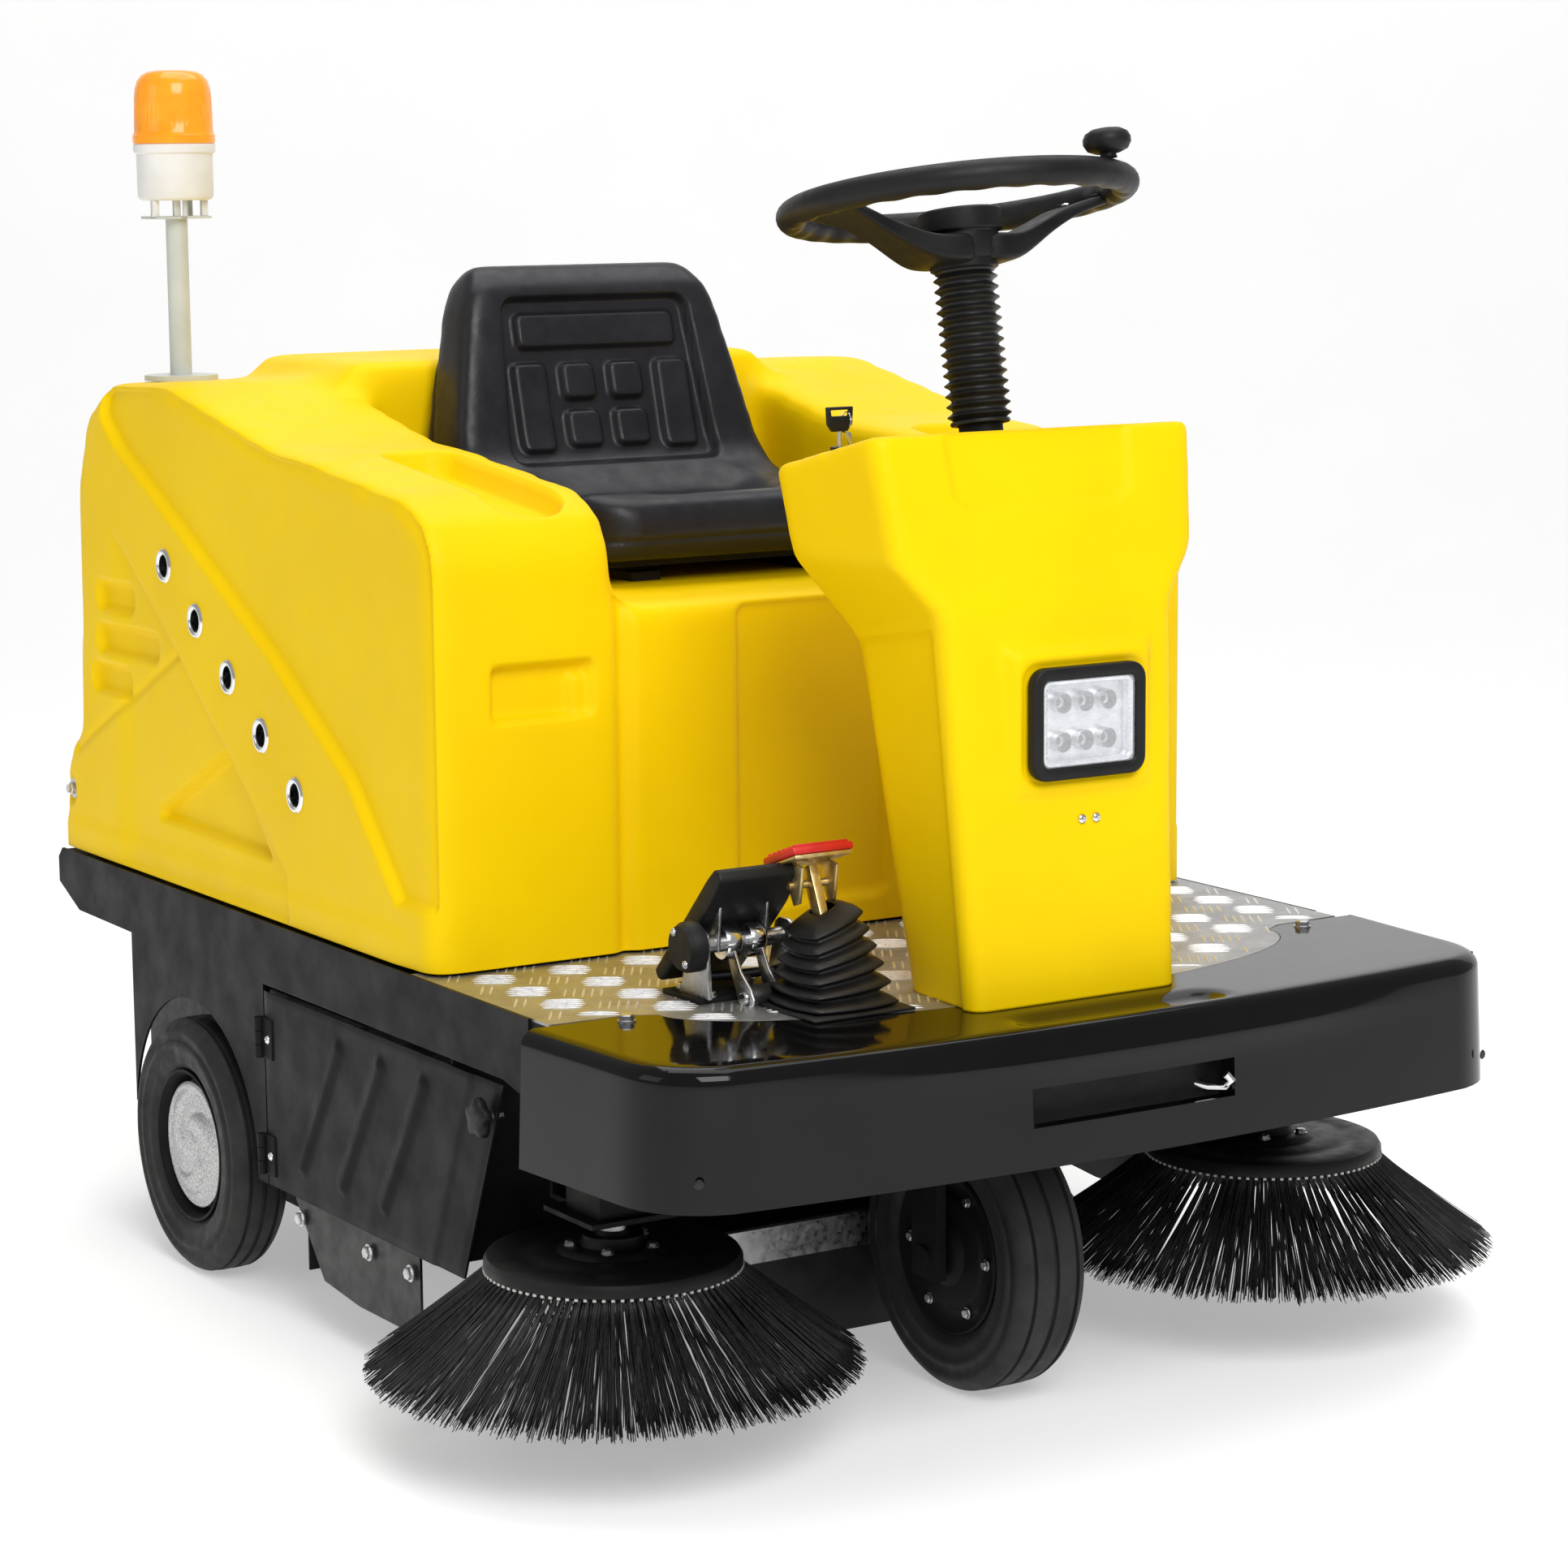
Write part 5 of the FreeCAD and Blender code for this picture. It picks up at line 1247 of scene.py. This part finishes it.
def make_beacon():
    """White base on three feet, ribbed amber dome and the lamp inside it."""
    x, y = BEACON
    base = [(0, 1204), (38, 1204), (41, 1205.5), (43, 1209), (43.3, 1256), (46, 1258), (46.5, 1260),
            (46.5, 1266.5), (45, 1268), (0, 1268)]
    white = lathe("beacon_white", base, (x, y, 0), (0, 0, 1), "white_plastic", 72)
    for dx in (-32, -6, 28):
        join(white, block("foot", (x + dx - 4, y - 18, 1186), (8, 6, 18.5), "white_plastic", 0.8))
    finish_piece(white, "body_cover", "white_plastic", "beacon_base")

    def ribbed(r, h, a):
        rib = 0.6 * (0.5 + 0.5 * math.cos(a * 60)) if 1279 < h < 1328 and r > 40 else 0.0
        return r - rib, h

    dome = [(44, 1268.2), (46.5, 1268.2), (46.8, 1271), (46.8, 1277), (45.5, 1279), (44.5, 1282),
            (44.2, 1300), (43.6, 1318), (42.6, 1330), (40, 1338), (35, 1344.5), (28, 1348.4), (18, 1349.8),
            (0, 1350)]
    inner = [(0, 1347), (18, 1346.8), (27, 1345.4), (33, 1342), (37.6, 1336), (40, 1328), (41.2, 1300),
             (41.5, 1280), (41.5, 1268.2)]
    shade = lathe("beacon_amber", dome + inner + dome[:1], (x, y, 0), (0, 0, 1), "amber", 120, 30, ribbed)
    bulb = [(0, 1269), (26, 1269), (26, 1280), (22, 1284), (22, 1312), (18, 1322), (8, 1328), (0, 1329)]
    shade = join(shade, lathe("beacon_lamp", bulb, (x, y, 0), (0, 0, 1), "amber_core", 40))
    finish_piece(shade, "body_cover", "amber", "beacon_dome")


# ---------------------------------------------------------------- pedals and boot

def plate(name, pivot, outline, low, high, material, bevel, segments=2):
    """Upright plate from (y, z) points and a span in x, all measured from a pivot."""
    x, y, z = pivot
    made = prism(name, [(y + a, z + b) for a, b in outline], x + low, x + high, "X", material)
    return bevelled(made, bevel, segments)


def along_run(run):
    """Turn that keeps x and lays y along the direction."""
    across = Vector((1, 0, 0))
    return Matrix((across, run, across.cross(run))).transposed()


def make_accelerator():
    """Treadle with a ribbed face on two pressed arms."""
    x, y, z = THROTTLE
    across = (1, 0, 0)
    tread_side = [(94, -40), (88, -49), (80, -49), (30, -2), (20, 4), (-10, 34), (-26, 54), (-34, 68),
                  (-30, 76), (-22, 78), (-8, 66)]
    tread = plate("tread", THROTTLE, tread_side, -46, 46, "black_plastic", 3, 3)
    parts = []
    run = Vector((0, -102, 110)).normalized()
    for i in range(11):
        start = Vector((0, y + 88, z - 34)) + run * (10 + i * 12.6)
        parts.append(block("rib", (x - 41, start.y, start.z), (82, 5, 3.4), "rubber", 0.8, along_run(run)))
    arm = [(-9, -7), (8, -9), (15, 20), (12, 40), (2, 58), (-16, 62), (-12, 30)]
    for low in (-34, 20):
        parts.append(plate("arm", THROTTLE, arm, low, low + 3, "steel", 0.8))
    barrel = [(0, -44), (8.8, -44), (8.8, 44), (0, 44)]
    parts.append(lathe("barrel", barrel, THROTTLE, across, "steel", 32))
    roller = [(9, -8), (16, -8), (17, -6), (17, 6), (16, 8), (9, 8)]
    for dx in (-18, 10):
        parts.append(lathe("roller", roller, (x + dx, y, z), across, "chrome", 32))
    pedal = combine("throttle_pedal", tread, *parts)
    finish_piece(pedal, "accelerator_pedal", "black_plastic", "accelerator_pedal")


def make_pedal_brackets():
    """Base plate, cheeks and the sensor can of the throttle, with the brake's bearing plates."""
    x, y, z = THROTTLE
    base_top = DECK_TOP + 5
    base = block("base", (x - 58, y - 12, DECK_TOP), (108, 70, 5), "black_paint", 1)
    parts = []
    cheek = [(-20, -51), (34, -51), (22, -14), (16, 12), (8, 17), (-8, 17), (-16, 12)]
    for low in (-52, 47):
        parts.append(plate("cheek", THROTTLE, cheek, low, low + 5, "steel", 1))
    can = [(0, 0), (23, 0), (25, 1.5), (25, 14), (23, 17), (21.5, 20), (0, 20)]
    parts.append(lathe("sensor", can, (x - 52, y, z), (-1, 0, 0), "black_plastic", 48))
    for a in (0.9, 4.1):
        spot = (x - 72, y + 18 * math.cos(a), z + 18 * math.sin(a))
        parts.append(pan_screw("sensor_screw", spot, (-1, 0, 0), 4.2))
    stop = [(0, 0), (9, 0), (9, 12), (6, 16), (0, 17)]
    parts.append(lathe("stop", stop, (x, y - 1, base_top), (0, 0, 1), "rubber", 24))
    for dx, dy in ((-40, -4), (36, -4), (-40, 48), (36, 48)):
        parts.append(hex_bolt("base_bolt", (x + dx, y + dy, base_top), (0, 0, 1), 5, 4, 7))
    yoke_side = [(-52, -50), (-48, -60), (-36, -64), (-24, -58), (-14, -36), (-4, -14), (6, -8), (-2, 4),
                 (-16, -6), (-28, -26), (-46, -40)]
    for low in (-20, 12):
        parts.append(plate("yoke", THROTTLE, yoke_side, low, low + 3, "steel", 0.8))
    yoke_at = (x - 2.5, y - 37, z - 49.5)
    roller = [(0, -14), (11.5, -14), (12.5, -12), (12.5, 12), (11.5, 14), (0, 14)]
    parts.append(lathe("yoke_roller", roller, yoke_at, (1, 0, 0), "rubber", 32))
    pin = [(0, -22), (6, -22), (7, -21), (7, -18.5), (4, -18), (4, 17), (0, 17)]
    parts.append(lathe("yoke_pin", pin, yoke_at, (1, 0, 0), "chrome", 24))
    link_path = [(x - 20, y + 48, 447), (x + 20, y + 30, 449), (x + 46, y + 16, 452)]
    parts.append(tube_along("link", link_path, 5, "rubber"))
    for low in (-30, 24):
        parts.append(block("brake_cheek", (BRAKE[0] + low, -547, 398), (6, 24, 33), "black_paint", 1))
    bracket = combine("throttle_mount", base, *parts)
    finish_piece(bracket, "chassis", "black_paint", "pedal_brackets")


def make_brake():
    """Zinc-plated lever and fork with a ribbed red pad that falls towards the driver."""
    x, y, z = BRAKE
    across = (1, 0, 0)
    stem_side = [(-8, -6), (10, -6), (26, 60), (62, 146), (48, 152), (10, 66)]
    stem = plate("stem", BRAKE, stem_side, -5, 5, "gold_zinc", 1.2)
    pin = lathe("brake_pin", [(0, -30), (7, -30), (7, 30), (0, 30)], BRAKE, across, "steel", 24)
    sleeve = lathe("brake_sleeve", [(7, -17), (14, -17), (14, 17), (7, 17)], BRAKE, across, "gold_zinc", 32)
    bolt_at = (x, y + 52, z + 132)
    bolt = lathe("fork_bolt", [(0, -27), (4, -27), (4, 27), (0, 27)], bolt_at, across, "gold_zinc", 20)
    fork_side = [(40, 116), (50, 112), (76, 160), (34, 152)]
    forks = [plate("fork", BRAKE, fork_side, low, low + 4, "gold_zinc", 0.8) for low in (-22, 18)]
    run = Vector((0, 58, -20)).normalized()
    turn = along_run(run)
    carrier = block("carrier", (x - 33, y + 27, z + 163), (66, 56, 4), "gold_zinc", 1, turn)
    pad = block("pad", (x - 35, y + 27, z + 167.5), (70, 60, 8), "red_rubber", 2.4, turn)
    ribs = []
    for i in range(6):
        start = Vector((0, y + 29.5, z + 174.6)) + run * (3 + i * 9.4)
        ribs.append(block("pad_rib", (x - 31, start.y, start.z), (62, 4.4, 3.0), "red_rubber", 0.9, turn))
    pedal = combine("brake_lever", stem, pin, sleeve, bolt, carrier, pad, *forks, *ribs)
    finish_piece(pedal, "brake_pedal", "brass", "brake_pedal")


def make_boot():
    """Pleated rubber boot, oblong and leaning back with the brake arm."""
    folds, height = 6, 88
    profile = []
    for i in range(folds * 8 + 1):
        t = i / (folds * 8)
        wave = 0.5 - 0.5 * math.cos(2 * math.pi * folds * t)
        reach = (55 - 25 * t) * (0.78 + 0.26 * wave ** 0.8)
        profile.append((reach, (height - 4) * t))
    profile += [(16, height - 1), (12, height)]
    inner = [(max(10, r - 5), h) for r, h in reversed(profile[:-1])]

    def oblong(r, h, a):
        square = 1 / max(abs(math.cos(a)), abs(math.sin(a))) ** 0.55
        return r * min(square, 1.22), h

    boot = lathe("boot", profile + inner + profile[:1], (0, 0, 0), (0, 0, 1), "rubber", 64, 0, oblong)
    points, _ = points_of(boot)
    points[:, 2] += 0.38 * points[:, 0] * (points[:, 2] / height) * step(points[:, 2] - 10, 30)
    set_points(boot, points)
    shear = Matrix.Identity(4)
    shear[0][2] = 0.2
    shear[1][2] = 0.50
    boot.data.transform(Matrix.Translation(Vector((-216, -545, 434.3)) * MM) @ shear)
    flange = block("boot_flange", (-274, -604, 434.2), (116, 112, 3), "rubber", 1.2)
    combine("brake_gaiter", boot, flange)
    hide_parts("brake_boot")
    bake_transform(boot)


# ---------------------------------------------------------------- doors and small parts

def door_sheet(name, side):
    """Pressed sheet with three slanted ribs and a crease along its slanted front edge."""
    outline = [(173, 360), (-372, 360), (-280, 141), (152, 141), (173, 150)]
    ys = np.arange(-372, 174, 5.0)
    zs = np.arange(141, 361, 4.0)
    grid_y, grid_z = np.meshgrid(ys, zs, indexing="ij")
    inside = region(grid_y, grid_z, outline)
    front_edge = -372 + (360 - grid_z) * 92 / 219
    grid_y = np.maximum(grid_y, front_edge)
    ribs = np.zeros(grid_y.shape)
    for rib_y in (-12, -109, -206):
        away = segment_distance(grid_y, grid_z, (rib_y, 326), (rib_y + 94, 181))
        ribs = np.maximum(ribs, 4.2 * step(8 - away, 9))
    crease = np.minimum(2.5 * step(58 - (grid_y - front_edge), 14), 1.8)
    x = SIDE_PLATE_X + 0.2 + ribs + 1.5 * step(inside - 5, 6) - crease
    points = np.stack([side * x, grid_y, grid_z], axis=-1).reshape(-1, 3)
    sheet = new_object(f"door_{name}", points, grid_faces(len(ys), len(zs)), "black_paint", 0)
    fix_normals(sheet)
    faces_out = sheet.data.polygons[len(sheet.data.polygons) // 2].normal.x * side > 0
    thicken(sheet, 2.6 if faces_out else -2.6)
    fix_normals(sheet)
    soften(sheet, 50)
    return sheet


def door_hinges(side):
    """Two hinges of three knuckles, each with its leaf and screw."""
    parts = []
    knuckle_at = (492.5 * side, 177)
    leaf_x = min(487.6 * side, 490.6 * side)
    for low in (283, 153):
        for rise, height in ((0, 14.4), (15.2, 14.4), (30.4, 14.6)):
            knuckle = [(0, 0), (5, 0), (5, height), (0, height)]
            parts.append(lathe("knuckle", knuckle, (*knuckle_at, low + rise), (0, 0, 1), "frame_paint", 24))
        parts.append(block("leaf", (leaf_x, 150, low), (3, 25, 45), "frame_paint", 0.8))
        parts.append(pan_screw("leaf_screw", (side * 490.4, 160, low + 22), (side, 0, 0), 5))
    return parts


def star_knob(name, side):
    """Five-lobed knob on its stem."""
    at, out = (side * SIDE_PLATE_X, -348, 322), (side, 0, 0)
    profile = [(0, 6.2), (11, 6.2), (16, 8), (18.6, 11), (18.6, 16), (17, 19), (12, 20.6), (0, 21)]

    def lobes(r, h, a):
        return (r * (1 + 0.13 * math.cos(5 * a)) if r > 12 else r), h

    knob = lathe(f"star_knob_{name}", profile, at, out, "black_plastic", 80, 50, lobes)
    stem = lathe("knob_stem", [(0, -12), (3.9, -12), (3.9, 7), (0, 7)], at, out, "steel", 20)
    return join(knob, stem)


def make_doors():
    for name, side in SIDES:
        door = join(door_sheet(name, side), *door_hinges(side))
        finish_piece(door, f"side_door_{name}", "black_paint", f"side_door_{name}")
        finish_piece(star_knob(name, side), f"door_knob_{name}", "black_plastic", f"door_knob_{name}")


def make_fasteners():
    """Bolts of the side skirts and the two screws under the headlight."""
    heads = []
    for _, side in SIDES:
        for y in (93, -70, -165):
            spot = (side * SIDE_PLATE_X, y, 120)
            heads.append(hex_bolt(f"skirt_bolt_{side}_{y}", spot, (side, 0, 0), 6, 5, 9))
    for x in (14, 31):
        heads.append(pan_screw(f"console_screw_{x}", (x, -639.2, 609), (0, -1, 0.08), 5))
    finish_piece(combine("fasteners", *heads), "chassis", "steel", "bolts_and_screws")


def make_key():
    """Key with a framed black bow, a split ring and a small second key hanging from it."""
    x, y = KEY
    blade = lathe("blade", [(0, 957), (2.4, 957), (2.4, 984), (0, 984)], (x, y, 0), (0, 0, 1), "steel", 16)
    bow_outline = [(x - 9, 983), (x + 9, 983), (x + 14, 990), (x + 15, 1007), (x - 15, 1007), (x - 14, 990)]
    bow = prism("bow", bow_outline, y - 2.6, y + 2.6, "Y", "black_plastic")
    hole_outline = [(x - 10, 998), (x + 10, 998), (x + 11, 1004), (x - 11, 1004)]
    carve(bow, prism("bow_hole", hole_outline, y - 6, y + 6, "Y", "black_plastic"))
    bevelled(bow, 1.0)
    ring_path = []
    for i in range(25):
        a = 2 * math.pi * i / 24
        ring_path.append((x + 5 + 1.2 * math.sin(a), y - 4 + 9 * math.cos(a), 992 + 10 * math.sin(a)))
    ring = tube_along("ring", ring_path, 0.9, "chrome", 8)
    spare_outline = [(x + 3, 984), (x + 9, 982), (x + 13, 966), (x + 8, 965)]
    spare = prism("spare", spare_outline, y - 7, y - 5.4, "Y", "steel")
    key = combine("key_body", bow, blade, ring, bevelled(spare, 0.4))
    finish_piece(key, "ignition_key", "steel", "ignition_key")


# ---------------------------------------------------------------- carried-over CAD nodes

CARRIED = {
    "frame_paint": ("main_frame", "brush_housing", "stub_axles", "front_fork", "steering_column",
                    "brush_lift_right", "brush_lift_left", "seat_rails", "seat_base"),
    "black_paint": ("side_plate_right", "side_plate_left", "brush_motor"),
    "steel": ("flap_clamp", "steering_chain", "steering_shaft", "motor_pulley", "cover_hinges"),
    "rubber": ("dust_flap", "side_skirts", "drive_belt"),
    "black_plastic": ("dash_panel", "direction_rocker", "dust_hopper", "batteries"),
    "red_rubber": ("horn_button",),
    "grey_paint": ("beacon_pole",),
}


def dress_carried():
    """Material and softened edges for the CAD nodes that are shown as they are."""
    for material, names in CARRIED.items():
        for name in names:
            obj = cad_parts[name]
            obj.data.materials.clear()
            obj.data.materials.append(MATS[material])
            modify(obj, "BEVEL", width=0.9 * MM, segments=2, limit_method="ANGLE",
                   angle_limit=math.radians(40))


# ---------------------------------------------------------------- stage, light and camera

def make_stage():
    """Pale sweep behind and under the machine, and three soft lamps; sizes in metres."""
    world = bpy.data.worlds.new("studio")
    bpy.context.scene.world = world
    world.use_nodes = True
    background = world.node_tree.nodes["Background"]
    background.inputs["Color"].default_value = (1, 1, 1, 1)
    background.inputs["Strength"].default_value = 0.34
    side, back, height, bend = 9.0, 7.0, 6.0, 2.0
    profile = [(-12.0, 0.0), (back - bend, 0.0)]
    for i in range(1, 13):
        a = math.pi / 2 * i / 12
        profile.append((back - bend + bend * math.sin(a), bend - bend * math.cos(a)))
    profile.append((back, height))
    turn = Matrix.Rotation(math.radians(-32.2), 3, "Z")
    verts = []
    for x in (-side, side):
        for y, z in profile:
            verts.append(turn @ Vector((x, y, z)))
    faces = grid_faces(2, len(profile), across=True)
    sweep = new_object("floor_sweep", [tuple(v / MM) for v in verts], faces, "floor_white", 0)
    lamp("key", (-1.2, -4.4, 4.0), 3.0, 205)
    lamp("top", (0.6, 0.6, 4.8), 4.0, 125)
    lamp("fill", (-5.2, 0.4, 2.4), 2.6, 22)


def lamp(name, at, size, power):
    """Square area light that faces the middle of the machine."""
    light = bpy.data.lights.new(name, "AREA")
    light.shape = "SQUARE"
    light.size = size
    light.energy = power
    obj = bpy.data.objects.new(name, light)
    obj.location = at
    obj.rotation_euler = (Vector(at) - Vector((0, 0, 0.6))).to_track_quat("Z", "Y").to_euler()
    bpy.context.scene.collection.objects.link(obj)


def make_camera():
    """The photograph's viewpoint, from the front right and a little above."""
    azimuth, elevation, roll = map(math.radians, (-32.22, 8.97, -0.47))
    back = Vector((math.sin(azimuth) * math.cos(elevation), -math.cos(azimuth) * math.cos(elevation),
                   math.sin(elevation)))
    right = (-back).cross(Vector((0, 0, 1))).normalized()
    up = right.cross(-back)
    right_rolled = right * math.cos(roll) + up * math.sin(roll)
    up_rolled = up * math.cos(roll) - right * math.sin(roll)
    matrix = Matrix((right_rolled, up_rolled, back)).transposed().to_4x4()
    matrix.translation = (-2.27267, -3.72387, 1.25018)
    data = bpy.data.cameras.new("photo_view")
    data.lens = 91.6
    data.sensor_width = 36
    camera = bpy.data.objects.new("photo_view", data)
    camera.matrix_world = matrix
    bpy.context.scene.collection.objects.link(camera)
    bpy.context.scene.camera = camera
    settings = bpy.context.scene.view_settings
    settings.view_transform = "Standard"


for make_piece in (make_cover, make_grommets, make_console, make_headlight, make_seat, make_bumper, make_deck,
                   make_rear_wheels, make_front_wheel):
    make_piece()
for brush_name, brush_side in SIDES:
    make_side_brush(brush_name, brush_side)
for make_piece in (make_main_brush, make_bellows, make_steering_wheel, make_spinner, make_beacon,
                   make_accelerator, make_pedal_brackets, make_brake, make_boot, make_doors, make_fasteners,
                   make_key, dress_carried, make_stage, make_camera):
    make_piece()
